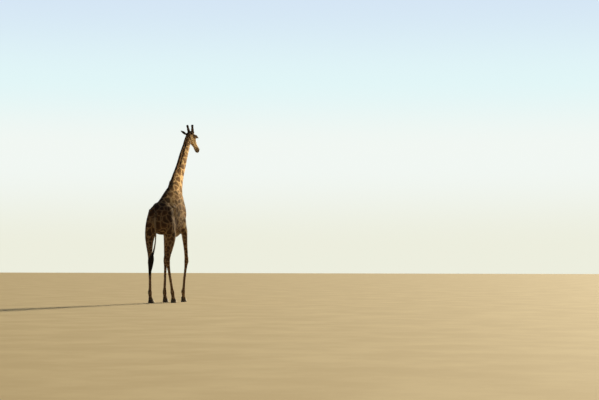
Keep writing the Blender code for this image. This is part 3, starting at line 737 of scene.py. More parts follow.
def averaged(piece, values, rounds, group=""):
    """Any vectors kept one for each point, averaged with their neighbours."""
    kept = points_of(piece)
    set_points(piece, values)
    settings = {"factor": 0.5, "iterations": rounds}
    if group:
        settings["vertex_group"] = group
    apply_modifier(piece, "SMOOTH", **settings)
    result = points_of(piece)
    set_points(piece, kept)
    return result


start = points_of(skin)
height = start[:, 2]
leg_share = rise(height, 1.95, 1.60)
ear_share = near_ears(start)
tail_share = rise(start[:, 1], 1.40, 1.43) * rise(height, 2.60, 2.45)
softness = 1.0 - LEG_HARDNESS * leg_share
for share, soft in ((head_share(start), HEAD_SOFTNESS), (tail_share, THIN_SOFTNESS), (ear_share, THIN_SOFTNESS)):
    softness = softness * (1 - share) + soft * share
set_weights(skin, "softness", softness)
once = averaged(skin, start, SMOOTH_ROUNDS, "softness")
twice = averaged(skin, once, SMOOTH_ROUNDS, "softness")
smooth = 2.0 * once - twice
set_points(skin, smooth)
print("mean move:", round(float(np.abs(smooth - start).mean()) * 1000, 2), "mm")

# %% [markdown]
# ## Muscles, bones and folds of the body
# Under a short coat the bones and tendons show, and they are what makes a still animal look alive.
# A sculptor would build them with a clay brush. Here each stroke is a named line or spot,
# a width and a height, and every point near it moves along its own normal.
# Strokes are given for the left side and repeated on the right.
# The solid's square left hip is first pressed in, and the croup rounded by plain averaging.

# %% Brush strokes
def near_spot(points, centre, radii, lean=0.0):
    """1 at the middle of an egg-shaped spot, 0 outside. The lean turns it about X, in degrees."""
    local = points - np.array(centre)
    turn = math.radians(lean)
    along = local[:, 1] * math.cos(turn) + local[:, 2] * math.sin(turn)
    above = local[:, 2] * math.cos(turn) - local[:, 1] * math.sin(turn)
    reach = (local[:, 0] / radii[0]) ** 2 + (along / radii[1]) ** 2 + (above / radii[2]) ** 2
    return np.clip(1.0 - reach, 0.0, 1.0) ** 2


def laid_on(points, path, pace):
    """A line laid down on the surface: it is walked in small paces, each snapped to the nearest point."""
    snapped = []
    for first, last in zip(path, path[1:]):
        first, last = np.array(first, float), np.array(last, float)
        paces = max(1, int(np.linalg.norm(last - first) / pace))
        snapped += [first + (last - first) * step / paces for step in range(paces)]
    snapped.append(np.array(path[-1], float))
    low, high = np.min(snapped, axis=0) - 0.12, np.max(snapped, axis=0) + 0.12
    close = points[((points > low) & (points < high)).all(axis=1)]
    return [close[((close - place) ** 2).sum(axis=1).argmin()] for place in snapped]


def near_line(points, path, width, pace=0.05):
    """1 on a bent line laid on the surface, falling away over its width."""
    line = laid_on(points, path, pace)
    low, high = np.min(line, axis=0) - 2.6 * width, np.max(line, axis=0) + 2.6 * width
    inside = ((points > low) & (points < high)).all(axis=1)
    close = points[inside]
    nearest = np.full(len(close), 1e9)
    for first, last in zip(line, line[1:]):
        step = last - first
        share = np.clip(((close - first) @ step) / max(step @ step, 1e-12), 0.0, 1.0)
        gap = ((close - first - share[:, None] * step) ** 2).sum(axis=1)
        nearest = np.minimum(nearest, gap)
    result = np.zeros(len(points))
    result[inside] = np.exp(-nearest / (width * width))
    return result


def ridge(value, middle, width, height):
    """A soft ridge, or a groove when the height is below 0."""
    return height * np.exp(-((value - middle) / width) ** 2)


def mirrored(path):
    """The same line on the other side."""
    return [(-x, y, z) for x, y, z in path]


print("brushes: spot, line and ridge")

# %% Body strokes
BODY_LINES = (  # path on the left side, width, height
    (((0.11, 0.00, 3.22), (0.20, -0.04, 2.85), (0.25, -0.12, 2.46)), 0.038, 0.011),
    (((0.14, 0.16, 3.12), (0.27, 0.15, 2.70), (0.32, 0.12, 2.30)), 0.042, -0.010),
    (((0.17, -0.16, 2.90), (0.22, -0.22, 2.62)), 0.040, -0.010),
    (((0.26, -0.05, 2.38), (0.31, 0.12, 2.12)), 0.035, 0.008),
    (((0.21, 0.66, 1.96), (0.27, 0.72, 2.08), (0.31, 0.82, 2.26)), 0.034, 0.008),
    (((0.19, 0.72, 1.94), (0.25, 0.81, 2.06), (0.29, 0.90, 2.22)), 0.032, -0.007),
    (((0.23, 0.75, 2.66), (0.20, 1.02, 2.62), (0.11, 1.30, 2.52)), 0.040, 0.009),
    (((0.34, 0.97, 2.48), (0.35, 0.99, 2.20), (0.28, 0.98, 1.92)), 0.032, -0.008),
    (((0.25, 1.22, 2.45), (0.27, 1.25, 2.15), (0.24, 1.22, 1.86)), 0.030, -0.011),
    (((0.12, 1.38, 2.42), (0.15, 1.38, 2.15), (0.18, 1.30, 1.85)), 0.040, 0.008),
    (((0.10, 0.30, 2.98), (0.10, 0.60, 2.82), (0.09, 0.95, 2.74)), 0.030, -0.007),
    (((0.15, -0.15, 3.17), (0.125, -0.29, 3.53), (0.11, -0.48, 3.84), (0.10, -0.66, 4.14),
      (0.09, -0.83, 4.43), (0.085, -0.95, 4.66)), 0.030, -0.009),
    (((0.13, 0.06, 3.38), (0.11, -0.10, 3.68), (0.09, -0.31, 3.98), (0.085, -0.49, 4.28),
      (0.08, -0.68, 4.56)), 0.036, 0.006),
    (((0.06, 0.20, 3.42), (0.06, 0.03, 3.60), (0.05, -0.19, 3.92), (0.045, -0.40, 4.24),
      (0.04, -0.62, 4.55)), 0.022, -0.006),
)
MIDLINE_STROKES = (
    (((0.0, 0.10, 3.42), (0.0, 0.50, 3.00), (0.0, 1.10, 2.76), (0.0, 1.36, 2.64)), 0.026, 0.012),
    (((0.0, 1.43, 2.42), (0.0, 1.36, 2.15), (0.0, 1.18, 1.92)), 0.040, -0.026),
    (((0.0, -0.40, 2.45), (0.0, -0.36, 2.85), (0.0, -0.42, 3.20)), 0.030, -0.009),
    (((0.0, -0.30, 3.30), (0.0, -0.50, 3.66), (0.0, -0.68, 4.02), (0.0, -0.86, 4.36)), 0.034, 0.006),
)
BODY_SPOTS = (  # centre on the left side, radii, lean, height
    ((0.250, 0.75, 2.66), (0.09, 0.085, 0.075), 0, 0.016),
    ((0.110, 1.35, 2.50), (0.08, 0.09, 0.075), 0, 0.014),
    ((0.280, 0.83, 2.50), (0.12, 0.11, 0.14), 15, -0.017),
    ((0.260, 0.05, 2.62), (0.12, 0.12, 0.26), 15, 0.010),
    ((0.290, 0.12, 2.22), (0.12, 0.12, 0.12), 0, 0.012),
    ((0.300, 1.08, 2.32), (0.16, 0.15, 0.26), 0, 0.012),
    ((0.270, 0.92, 2.02), (0.12, 0.10, 0.15), 0, 0.012),
    ((0.120, -0.36, 2.40), (0.09, 0.12, 0.14), 0, 0.012),
)
RIB_GAP, RIB_HEIGHT, RIB_SLANT = 0.074, 0.0026, 0.35
BODY_STRENGTH = 1.2


def other_side(centre):
    """The same spot on the other side."""
    return (-centre[0], centre[1], centre[2])


def sculpt(piece, strokes):
    """Moves each point along its normal by the sum of the strokes."""
    points, normals = points_of(piece), normals_of(piece)
    set_points(piece, points + normals * strokes(points)[:, None])


def body_strokes(points):
    """All strokes of the trunk and neck."""
    lift = np.zeros(len(points))
    for path, width, height in BODY_LINES:
        lift += height * (near_line(points, path, width) + near_line(points, mirrored(path), width))
    for path, width, height in MIDLINE_STROKES:
        lift += height * near_line(points, path, width)
    for centre, radii, lean, height in BODY_SPOTS:
        both = near_spot(points, centre, radii, lean) + near_spot(points, other_side(centre), radii, lean)
        lift += height * both
    barrel = rise(points[:, 1], 0.18, 0.30) * rise(points[:, 1], 0.90, 0.76)
    barrel *= rise(points[:, 2], 2.02, 2.20) * rise(points[:, 2], 2.80, 2.62)
    phase = (points[:, 1] + RIB_SLANT * (points[:, 2] - 2.4)) * (2 * math.pi / RIB_GAP)
    return BODY_STRENGTH * lift + barrel * RIB_HEIGHT * np.sin(phase)


HIP_CORNER, HIP_PRESS = (0.17, 1.36, 2.60), 0.038
CROUP, CROUP_ROUNDS = (0.0, 1.38, 2.60), 160
sculpt(skin, lambda points: -HIP_PRESS * near_spot(points, HIP_CORNER, (0.15, 0.13, 0.13)))
before = points_of(skin)
on_croup = np.minimum(near_spot(before, CROUP, (0.34, 0.20, 0.20)) * 2.5, 1.0)
rounder = averaged(skin, before, CROUP_ROUNDS)
set_points(skin, before + on_croup[:, None] * (rounder - before))
sculpt(skin, body_strokes)
print("body strokes:", len(BODY_LINES) + len(MIDLINE_STROKES) + len(BODY_SPOTS))

# %% [markdown]
# ## Legs
# A giraffe's lower leg is bone and tendon under skin: a broad knee, a flat shin with the
# tendons standing off behind it, and a knuckle above the hoof with two low swellings at its back.
# Each leg bends its own way, so its centre line is measured on its solid, level by level,
# and the strokes are placed from that line.

# %% Leg lines
LEGS = ("leg_front_left", "leg_front_right", "leg_hind_left", "leg_hind_right")
LEG_LEVELS = np.arange(0.14, 1.80, 0.04)


def centre_line(node):
    """The middle of a limb's solid at each level, as x and y."""
    corners = np.array([v.co for v in frame["nodes"][node].data.vertices])
    rows = []
    for level in LEG_LEVELS:
        band = corners[np.abs(corners[:, 2] - level) < 0.05]
        low, high = band.min(axis=0), band.max(axis=0)
        rows.append(((low[0] + high[0]) / 2, (low[1] + high[1]) / 2))
    return np.array(rows)


LEG_LINES = {node: centre_line(node) for node in LEGS}


def beside_leg(points, node):
    """Each point's place sideways and backwards from a leg's centre line, and 1 where it is on it."""
    line = LEG_LINES[node]
    x = points[:, 0] - np.interp(points[:, 2], LEG_LEVELS, line[:, 0])
    y = points[:, 1] - np.interp(points[:, 2], LEG_LEVELS, line[:, 1])
    near = rise(np.hypot(x, y), 0.17, 0.13) * rise(points[:, 2], 1.62, 1.50)
    return x, y, near


print("leg lines:", len(LEG_LINES), "with", len(LEG_LEVELS), "levels each")

# %% Leg strokes
FOOT_SPOTS = (  # knuckle, swelling at its back, hollow above the heel: centre, radii, height
    ((0.040, 0.030, 0.330), (0.025, 0.028, 0.030), 0.0070),
    ((0.022, 0.052, 0.285), (0.013, 0.020, 0.017), 0.0130),
    ((0.000, 0.055, 0.235), (0.030, 0.030, 0.020), -0.0060),
)
KNEE_SPOTS = (  # two rows of bones with a hollow between, the bone behind, the muscle's end above
    ((0.034, -0.020, 1.275), (0.026, 0.035, 0.026), 0.0080),
    ((0.034, -0.015, 1.165), (0.026, 0.035, 0.024), 0.0070),
    ((0.040, -0.010, 1.220), (0.026, 0.040, 0.013), -0.0050),
    ((0.000, 0.060, 1.255), (0.024, 0.025, 0.035), 0.0110),
    ((0.030, -0.030, 1.450), (0.030, 0.030, 0.100), 0.0060),
)
HOCK_SPOTS = (  # the joint's sides, the heel bone behind it, the hollow in front
    ((0.036, -0.015, 1.120), (0.024, 0.035, 0.035), 0.0060),
    ((0.000, 0.066, 1.225), (0.020, 0.024, 0.040), 0.0100),
    ((0.030, -0.045, 1.185), (0.030, 0.020, 0.014), -0.0040),
)


def spots(side, y, z, table):
    """The sum of the soft spots in a table, in a leg's own directions."""
    total = 0.0
    for centre, radii, height in table:
        across, along = (side - centre[0]) / radii[0], (y - centre[1]) / radii[1]
        total = total + height * np.exp(-across ** 2 - along ** 2 - ((z - centre[2]) / radii[2]) ** 2)
    return total


def leg_strokes(points):
    """Knee or hock, tendons, knuckle and the hoof's hair line."""
    lift = np.zeros(len(points))
    z = points[:, 2]
    shin = rise(z, 0.40, 0.50) * rise(z, 1.06, 0.94)
    above_hock = rise(z, 1.20, 1.28) * rise(z, 1.52, 1.42)
    for node in LEGS:
        x, y, near = beside_leg(points, node)
        side = np.abs(x)
        stroke = shin * ridge(y, 0.014, 0.012, -0.0065) * rise(side, 0.012, 0.025)
        stroke += shin * ridge(y, 0.036, 0.014, 0.0040)
        stroke += ridge(z, 0.130, 0.012, 0.0045) + ridge(z, 0.158, 0.010, -0.0045)
        stroke += spots(side, y, z, FOOT_SPOTS)
        if "front" in node:
            stroke += spots(side, y, z, KNEE_SPOTS)
        else:
            stroke += spots(side, y, z, HOCK_SPOTS)
            stroke += above_hock * ridge(y, 0.018, 0.017, -0.0110) * rise(side, 0.008, 0.022)
        lift += stroke * near
    return lift


sculpt(skin, leg_strokes)
print("legs shaped:", len(LEGS))

# %% [markdown]
# ## Fewer faces where the form is plain
# The remesh is even, but the trunk is plain and the head is not.
# A Decimate modifier with a vertex group thins the trunk hard and leaves the head as it is.
# That leaves faces to spare for the eyelids, the nostrils and the lips.

# %% Thin the body
BODY_FACES = 118000
thinning = 1.0 - 0.995 * np.maximum(head_share(points_of(skin)), near_ears(points_of(skin)))
skin.vertex_groups.clear()
set_weights(skin, "thinning", thinning)
share = BODY_FACES / (2.0 * len(skin.data.polygons))
apply_modifier(skin, "DECIMATE", ratio=share, vertex_group="thinning", use_collapse_triangulate=True)
skin.vertex_groups.clear()
kept_head = int((head_share(points_of(skin)) > 0.5).sum())
print("skin faces:", len(skin.data.polygons), "of them on the head about", kept_head * 2)

# %% [markdown]
# ## The face
# The head gets the most care: almond lids that hug the eyeball, a fold above them, slit nostrils
# that can close, a long overhanging upper lip, the edge of the jaw and the ridge of the cheek.
# These need small faces, so the mesh is subdivided only where they are.

# %% Finer faces around eyes, nostrils and lips
def subdivide_where(piece, chosen):
    """Splits the faces whose middle is chosen."""
    mesh = piece.data
    middles = np.empty(len(mesh.polygons) * 3, dtype=np.float32)
    mesh.polygons.foreach_get("center", middles)
    picked = chosen(head_points(middles.reshape(-1, 3).astype(float)))
    make_active(piece)
    bpy.ops.object.mode_set(mode="EDIT")
    bpy.ops.mesh.select_mode(type="FACE")
    bpy.ops.mesh.select_all(action="DESELECT")
    bpy.ops.object.mode_set(mode="OBJECT")
    mesh.polygons.foreach_set("select", picked)
    bpy.ops.object.mode_set(mode="EDIT")
    bpy.ops.mesh.subdivide(number_cuts=1, quadcorner="INNERVERT")
    bpy.ops.mesh.select_all(action="SELECT")
    bpy.ops.mesh.quads_convert_to_tris()
    bpy.ops.object.mode_set(mode="OBJECT")
    return int(picked.sum())


EYE_LOCAL = np.array(EYE_IN_HEAD)
FACE_PACE = 0.012


def eye_gap(local):
    """How far a point is from the nearer eye's middle."""
    return np.linalg.norm(one_side(local) - EYE_LOCAL, axis=1)


MOUTH = ((0.0, -0.700, -0.100), (0.030, -0.688, -0.100), (0.052, -0.655, -0.104), (0.064, -0.600, -0.110),
         (0.064, -0.545, -0.110), (0.061, -0.500, -0.104), (0.058, -0.462, -0.094))


def muzzle_lines(local):
    """1 near the nostrils or the mouth."""
    lines = np.zeros(len(local))
    for path in (NOSTRIL, MOUTH):
        lines = np.maximum(lines, near_line(local, path, 0.012, FACE_PACE))
        lines = np.maximum(lines, near_line(local, mirrored(path), 0.012, FACE_PACE))
    return lines


def on_muzzle(local):
    """The muzzle's end, by its place along the head."""
    return (local[:, 1] < -0.52) & (local[:, 1] > -0.8)


first = subdivide_where(skin, lambda local: (eye_gap(local) < 0.058) | on_muzzle(local))
second = subdivide_where(skin, lambda local: (eye_gap(local) < 0.046) | (muzzle_lines(local) > 0.30))
before = points_of(skin)
softened = near_spot(head_points(before), (0.0, -0.64, -0.07), (0.12, 0.16, 0.12))
set_points(skin, before + softened[:, None] * (averaged(skin, before, 4) - before))
print("split", first, "then", second, "faces; skin now has", len(skin.data.polygons))

# %% [markdown]
# ## Eyelids
# The skin over each eye is pushed to the eyeball's own radius plus a lid's thickness, so the lids hug the ball.
# Inside an almond slit the skin is pushed behind the ball instead, and the eye shows.
# The slit follows the face's own level, so its direction is worked out first.
# A rim, a crease and a fold are then laid round it, each at its own distance out from the slit.

# %% Eyelids
GAZE, SLIT_WAY = np.array((0.955, -0.270, 0.080)), np.array((0.0, 0.965, 0.260))
SLIT_HALF_LENGTH, UPPER_OPENING, LOWER_OPENING = 0.86, 0.62, 0.50
LID_THICKNESS = 0.0036
LID_RIM, LOWER_CREASE = (1.20, 0.12, 0.0013), (1.65, 0.12, -0.0016)  # place out from the slit, width, height
UPPER_CREASE, UPPER_FOLD = (1.72, 0.13, -0.0024), (2.05, 0.20, 0.0016)
BEHIND_BALL = 0.0065


def eye_ways(sign):
    """An eye's gaze, the way its slit runs, and the way up across the slit."""
    gaze = unit(GAZE * (sign, 1, 1))
    slit = unit(SLIT_WAY - gaze * (SLIT_WAY @ gaze))
    return gaze, slit, np.cross(gaze, slit) * sign


def lid_place(local, sign):
    """A point's distance from an eye, and its place along and across the slit, in eye radii."""
    gaze, slit, upwards = eye_ways(sign)
    arm = local - EYE_LOCAL * (sign, 1, 1)
    reach = np.linalg.norm(arm, axis=1)
    way = arm / np.maximum(reach, 1e-6)[:, None]
    return reach, way @ gaze, way @ slit, way @ upwards, way


def shape_lids(piece):
    """Opens an almond slit over each eyeball and lays lids along its edge."""
    local = head_points(points_of(piece))
    for sign in (1.0, -1.0):
        reach, facing, along, above, way = lid_place(local, sign)
        opening = np.where(above > 0, UPPER_OPENING, LOWER_OPENING)
        slit = np.abs(above) / opening + (along / SLIT_HALF_LENGTH) ** 2
        upper = ridge(slit, *UPPER_CREASE) + ridge(slit, *UPPER_FOLD)
        lid = EYE_RADIUS + LID_THICKNESS + ridge(slit, *LID_RIM) + upper * rise(above, 0.05, 0.35)
        lid = lid + ridge(slit, *LOWER_CREASE) * rise(above, -0.05, -0.30)
        inner = EYE_RADIUS - BEHIND_BALL
        wanted = inner + (lid - inner) * rise(slit, 0.90, 1.05)
        hold = rise(slit, 2.7, 1.5) * rise(facing, 0.10, 0.35) * rise(reach, 0.052, 0.040)
        moved = reach + (wanted - reach) * hold
        local = np.where((hold > 0)[:, None], EYE_LOCAL * (sign, 1, 1) + way * moved[:, None], local)
    set_points(piece, in_world(local))


shape_lids(skin)
print("lids:", LID_THICKNESS * 1000, "mm thick")

# %% [markdown]
# ## Strokes of the face
# The same brushes draw the face in the head's own directions: slit nostrils with a raised rim, the line of the
# mouth with a lip on each side, the cheek ridge, the jaw's edge and small creases by the lips.

# %% Face strokes
FACE_LINES = (  # path on the left side of the head, width, height
    (NOSTRIL, 0.0066, -0.0105),
    (tuple((x * 1.12 + 0.006, y + 0.004, z - 0.014) for x, y, z in NOSTRIL), 0.008, 0.0035),
    (tuple((x * 0.80, y + 0.010, z + 0.013) for x, y, z in NOSTRIL), 0.009, 0.0035),
    (MOUTH, 0.0042, -0.0075),
    (tuple((x, y, z + 0.013) for x, y, z in MOUTH), 0.0080, 0.0028),
    (tuple((x, y + 0.012, z - 0.012) for x, y, z in MOUTH), 0.0070, 0.0018),
    (((0.100, -0.235, -0.012), (0.084, -0.330, -0.030), (0.066, -0.440, -0.048)), 0.013, 0.0050),
    (((0.098, -0.225, -0.038), (0.080, -0.330, -0.058), (0.062, -0.440, -0.075)), 0.016, -0.0045),
    (((0.072, -0.020, -0.105), (0.074, -0.090, -0.146), (0.058, -0.220, -0.150), (0.045, -0.400, -0.136)),
     0.013, 0.0048),
    (((0.090, -0.060, -0.060), (0.098, -0.120, -0.098), (0.080, -0.230, -0.108), (0.064, -0.380, -0.104)),
     0.014, -0.0042),
    (((0.094, -0.160, 0.075), (0.080, -0.240, 0.078), (0.052, -0.320, 0.068)), 0.010, 0.0030),
    (((0.060, -0.300, 0.052), (0.050, -0.420, 0.018), (0.046, -0.520, -0.006)), 0.013, -0.0042),
    (((0.070, -0.470, -0.062), (0.068, -0.500, -0.085), (0.066, -0.520, -0.100)), 0.0055, -0.0018),
    (((0.064, -0.448, -0.066), (0.064, -0.470, -0.090)), 0.0055, -0.0016),
    (((0.060, -0.590, -0.052), (0.066, -0.570, -0.072), (0.066, -0.556, -0.094)), 0.0050, -0.0016),
    (((0.060, -0.560, -0.036), (0.068, -0.540, -0.060)), 0.0050, -0.0014),
)
FACE_MIDLINE = (
    (((0.0, -0.705, -0.095), (0.0, -0.702, -0.060), (0.0, -0.688, -0.035)), 0.0050, -0.0030),
    (((0.0, -0.340, 0.078), (0.0, -0.460, 0.036), (0.0, -0.560, 0.012)), 0.016, 0.0035),
    (((0.0, -0.695, -0.118), (0.0, -0.640, -0.150), (0.0, -0.560, -0.154)), 0.020, 0.0030),
)
FACE_SPOTS = (  # centre on the left side, radii, lean, height
    ((0.098, -0.125, 0.062), (0.050, 0.050, 0.036), 0, -0.0085),
    ((0.080, -0.300, 0.010), (0.040, 0.050, 0.030), 0, -0.0050),
    ((0.104, -0.150, -0.040), (0.050, 0.070, 0.050), 0, 0.0040),
    ((0.000, -0.150, 0.136), (0.045, 0.070, 0.030), 0, 0.0050),
    ((0.118, -0.262, 0.045), (0.045, 0.036, 0.046), 0, -0.0140),
)


def face_strokes(points):
    """All strokes of the face, faded out on the neck."""
    local = head_points(points)
    lift = np.zeros(len(points))
    for path, width, height in FACE_LINES:
        lift += height * near_line(local, path, width, FACE_PACE)
        lift += height * near_line(local, mirrored(path), width, FACE_PACE)
    for path, width, height in FACE_MIDLINE:
        lift += height * near_line(local, path, width, FACE_PACE)
    for centre, radii, lean, height in FACE_SPOTS:
        other = near_spot(local, other_side(centre), radii, lean)
        lift += height * np.maximum(near_spot(local, centre, radii, lean), other)
    return lift * head_share(points) * (1.0 - near_ears(points))


sculpt(skin, face_strokes)
print("face strokes:", len(FACE_LINES) + len(FACE_MIDLINE) + len(FACE_SPOTS))

# %% [markdown]
# ## The skin's last steps
# The skin is drawn in by the coat's depth, so that the tips of the hair reach about where the solids end.

# %% Finish the skin
BODY_COAT, HEAD_COAT = 0.0040, 0.0012


def coat_room(points):
    """The skin lies inside the solids by the coat's depth, which is least on the head and feet."""
    bare = np.maximum(head_share(points), rise(points[:, 2], 1.3, 0.7))
    return -(BODY_COAT * (1 - bare) + HEAD_COAT * bare) * (1.0 - near_ears(points))


sculpt(skin, coat_room)
make_active(skin)
bpy.ops.object.shade_smooth()
skin.data.materials.clear()
skin.data.materials.append(hide)
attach(skin, "root")
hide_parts(*FLESH)
print("skin triangles:", sum(len(f.vertices) - 2 for f in skin.data.polygons))

# %% [markdown]
# ## Eyes
# A giraffe's eye is large, dark brown and very glossy, with a wide level pupil.
# Each eye is a ball with a slightly raised clear front. Its colours follow the direction of gaze:
# a dark pupil, a brown iris with fine spokes, and a little pale rim that hides behind the lids.

# %% Eye paint
WHITE_OF_EYE, IRIS_BROWN, SPOKE_BROWN = (0.110, 0.072, 0.050), (0.055, 0.026, 0.012), (0.095, 0.045, 0.020)
PUPIL_BLACK, BALL_BACK = (0.004, 0.004, 0.005), (0.02, 0.012, 0.010)


def eye_material(name, sign):
    """Pupil, iris and rim by the angle from the gaze."""
    material, shader, place = new_material(name, 0.05, 0.6)
    ahead = HEAD_TURN @ Vector(eye_ways(sign)[0])
    level = (HEAD_TURN @ Vector(SLIT_WAY)).normalized()
    steep = ahead.cross(level).normalized()
    arm = place.moved("SUBTRACT", EYE_PLACES["left" if sign > 0 else "right"])
    along = arm.moved("DOT_PRODUCT", level, 1) / EYE_RADIUS
    above = arm.moved("DOT_PRODUCT", steep, 1) / EYE_RADIUS
    front = arm.moved("DOT_PRODUCT", ahead, 1)
    pupil = (along * 0.62) * (along * 0.62) + above * above
    ring = (along * along + above * above) ** 0.5
    spokes = arm.moved("MULTIPLY", (900.0, 900.0, 900.0)).noise(1.0, 2.0)
    colour = colour_of(place, WHITE_OF_EYE).toward(IRIS_BROWN, ring.rise(0.80, 0.72))
    colour = colour.toward(SPOKE_BROWN, spokes.rise(0.45, 0.65) * ring.rise(0.70, 0.50) * 0.6)
    colour = colour.toward(PUPIL_BLACK, pupil.rise(0.115, 0.085))
    colour = colour.toward(BALL_BACK, front.rise(0.004, -0.004))
    put(shader, "Base Color", colour)
    shader.inputs["Coat Weight"].default_value = 1.0
    shader.inputs["Coat Roughness"].default_value = 0.02
    return material


SIDES = (("left", 1.0), ("right", -1.0))
eye_paints = {side: eye_material("eye_" + side, sign) for side, sign in SIDES}
print("eye paints:", list(eye_paints))

# %% Eyeballs
for side, sign in SIDES:
    clear_selection()
    bpy.ops.mesh.primitive_uv_sphere_add(segments=56, ring_count=36, radius=EYE_RADIUS * 0.985,
                                         location=EYE_PLACES[side])
    eyeball = bpy.context.object
    bpy.ops.object.transform_apply(location=True, rotation=True, scale=True)
    eyeball.name = "eyeball_" + side
    local = head_points(points_of(eyeball)) - EYE_LOCAL * (sign, 1, 1)
    facing = (local @ eye_ways(sign)[0]) / np.linalg.norm(local, axis=1)
    local = local * (1.0 + 0.055 * rise(facing, 0.72, 0.98))[:, None]
    set_points(eyeball, in_world(local + EYE_LOCAL * (sign, 1, 1)))
    bpy.ops.object.shade_smooth()
    eyeball.data.materials.append(eye_paints[side])
    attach(eyeball, "root")
    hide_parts("eye_" + side)
print("eyes:", len(SIDES))

# %% [markdown]
# ## Horns
# The two horns are bone under skin, not sheaths of horn. Hair covers their sides,
# and on a grown bull their blunt knobs are worn bare and dark from sparring.
# Each starts as a copy of its solid, is remeshed fine, rounded, and roughened with low knobs and pits.
# Its base is pushed a little deeper into the skull and widened, so that horn and head meet without a groove.

# %% Rounded copies
def rounded_copy(node, name, voxel, rounds, swell=0.0):
    """A fine, smooth copy of a solid that keeps its size."""
    piece = copy_of(node, name)
    if swell:
        apply_modifier(piece, "DISPLACE", strength=swell, mid_level=0.0)
    apply_modifier(piece, "REMESH", mode="VOXEL", voxel_size=voxel, adaptivity=0.0)
    begin = points_of(piece)
    one = averaged(piece, begin, rounds)
    set_points(piece, 2.0 * one - averaged(piece, one, rounds))
    return piece


def rolling(points, size, seed):
    """Soft lumps from sums of slanted waves, between -1 and 1."""
    wave = np.random.default_rng(seed)
    total = np.zeros(len(points))
    for _ in range(7):
        way = wave.normal(size=3)
        total += np.sin(points @ (way / np.linalg.norm(way)) * (2 * math.pi / size) + wave.uniform(0, 6.28))
        size *= 0.86
    return total / 4.0


print("rounding tools ready")

# %% Horns
HORN_BASE, HORN_TIP = np.array((0.060, -0.020, 0.070)), np.array((0.088, 0.160, 0.197))
HORN_AXIS = HORN_TIP - HORN_BASE
HORN_SINK, HORN_WIDEN = 0.16, 0.20


def along_horn(local):
    """A point's share along the left horn, and its arm out from the horn's line."""
    share = (local - HORN_BASE) @ HORN_AXIS / (HORN_AXIS @ HORN_AXIS)
    return share, local - HORN_BASE - share[:, None] * HORN_AXIS


def horn_strokes(points):
    """Low lumps, highest on the knob."""
    share, _ = along_horn(one_side(head_points(points)))
    return rolling(points, 0.040, 3) * (0.0006 + 0.0022 * rise(share, 0.72, 0.90))


def sink_base(horn, sign):
    """Pushes the horn's base into the skull and widens it there."""
    share, out = along_horn(head_points(points_of(horn)) * (sign, 1, 1))
    share = share - HORN_SINK * rise(share, 0.52, 0.40)
    wider = 1.0 + HORN_WIDEN * rise(share, 0.58, 0.38)
    sunk = HORN_BASE + share[:, None] * HORN_AXIS + out * wider[:, None]
    set_points(horn, in_world(sunk * (sign, 1, 1)))


horns = []
for side, sign in SIDES:
    horn = rounded_copy("ossicone_" + side, "horn_" + side, voxel=0.0024, rounds=30, swell=0.0012)
    sculpt(horn, horn_strokes)
    sink_base(horn, sign)
    make_active(horn)
    bpy.ops.object.shade_smooth()
    horns.append(horn)
print("horn faces:", [len(horn.data.polygons) for horn in horns])

# %% Horn skin
HORN_BROWN, HORN_WARM = (0.120, 0.068, 0.040), (0.20, 0.120, 0.070)
HORN_WORN, HORN_SCURF = (0.050, 0.036, 0.030), (0.16, 0.125, 0.10)
horn_skin, horn_shader, horn_place = new_material("horn_skin", 0.72, 0.3)
_, horn_back, horn_up = head_parts(horn_place)
horn_rise = horn_back * 0.80 + horn_up * 0.60
horn_bare = (horn_rise + horn_place.noise(55.0, 3.0) * 0.022).rise(0.196, 0.226)
horn_warm = horn_place.noise(80.0, 4.0).rise(0.4, 0.7)
horn_scurf = horn_place.noise(150.0, 3.0).rise(0.60, 0.72) * horn_bare
horn_colour = colour_of(horn_place, HORN_BROWN).toward(HORN_WARM, horn_warm * 0.5)
horn_colour = horn_colour.toward(HORN_WORN, horn_bare).toward(HORN_SCURF, horn_scurf * 0.5)
put(horn_shader, "Base Color", horn_colour)
put(horn_shader, "Roughness", 0.80 - horn_bare * 0.28)
horn_grain = horn_place.moved("MULTIPLY", (420.0, 200.0, 160.0)).noise(1.0, 4.0, 0.6)
horn_pits = horn_place.cells(190.0, "F1") * horn_bare
rough_surface(horn_shader, horn_grain + horn_pits * 0.8, 0.0022, 0.8)
for (side, _), horn in zip(SIDES, horns):
    horn.data.materials.append(horn_skin)
    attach(horn, "root")
    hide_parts("ossicone_" + side)
print("horns finished:", len(horns))

# %% [markdown]
# ## Hooves
# Each hoof is a pair of hard toes, split by a cleft, wider at the ground than at the hair line.
# The wall grows downwards a few millimetres a month, which leaves fine level rings,
# and it is dull and dusty above, worn and chipped along the ground.
# What remains a little above the ground at the sole's edge is pressed flat, so that the hoof stands firmly.

# %% Hoof paint
HOOF_DARK, HOOF_LIGHT = (0.072, 0.056, 0.044), (0.190, 0.145, 0.100)
HOOF_WORN, HOOF_DIRT = (0.21, 0.165, 0.12), (0.34, 0.26, 0.17)
hoof_horn, hoof_shader, hoof_place = new_material("hoof_horn", 0.5, 0.4)
hoof_height = hoof_place.parts()[2]
rings = (hoof_height * 620.0 + hoof_place.noise(14.0, 2.0) * 9.0).wave()
grain = hoof_place.moved("MULTIPLY", (300.0, 300.0, 22.0)).noise(1.0, 4.0, 0.65)
worn = hoof_height.rise(0.030, 0.004) * hoof_place.noise(40.0, 3.0).rise(0.35, 0.6)
dirt = hoof_place.noise(18.0, 4.0).rise(0.46, 0.72)
hoof_colour = colour_of(hoof_place, HOOF_DARK).toward(HOOF_LIGHT, grain.rise(0.40, 0.72) * 0.8)
hoof_colour = hoof_colour.toward(HOOF_WORN, worn * 0.7).toward(HOOF_DIRT, dirt * 0.55)
put(hoof_shader, "Base Color", hoof_colour)
put(hoof_shader, "Roughness", 0.52 + grain * 0.35)
rough_surface(hoof_shader, rings * 0.22 + grain * 0.7, 0.0022, 0.9)
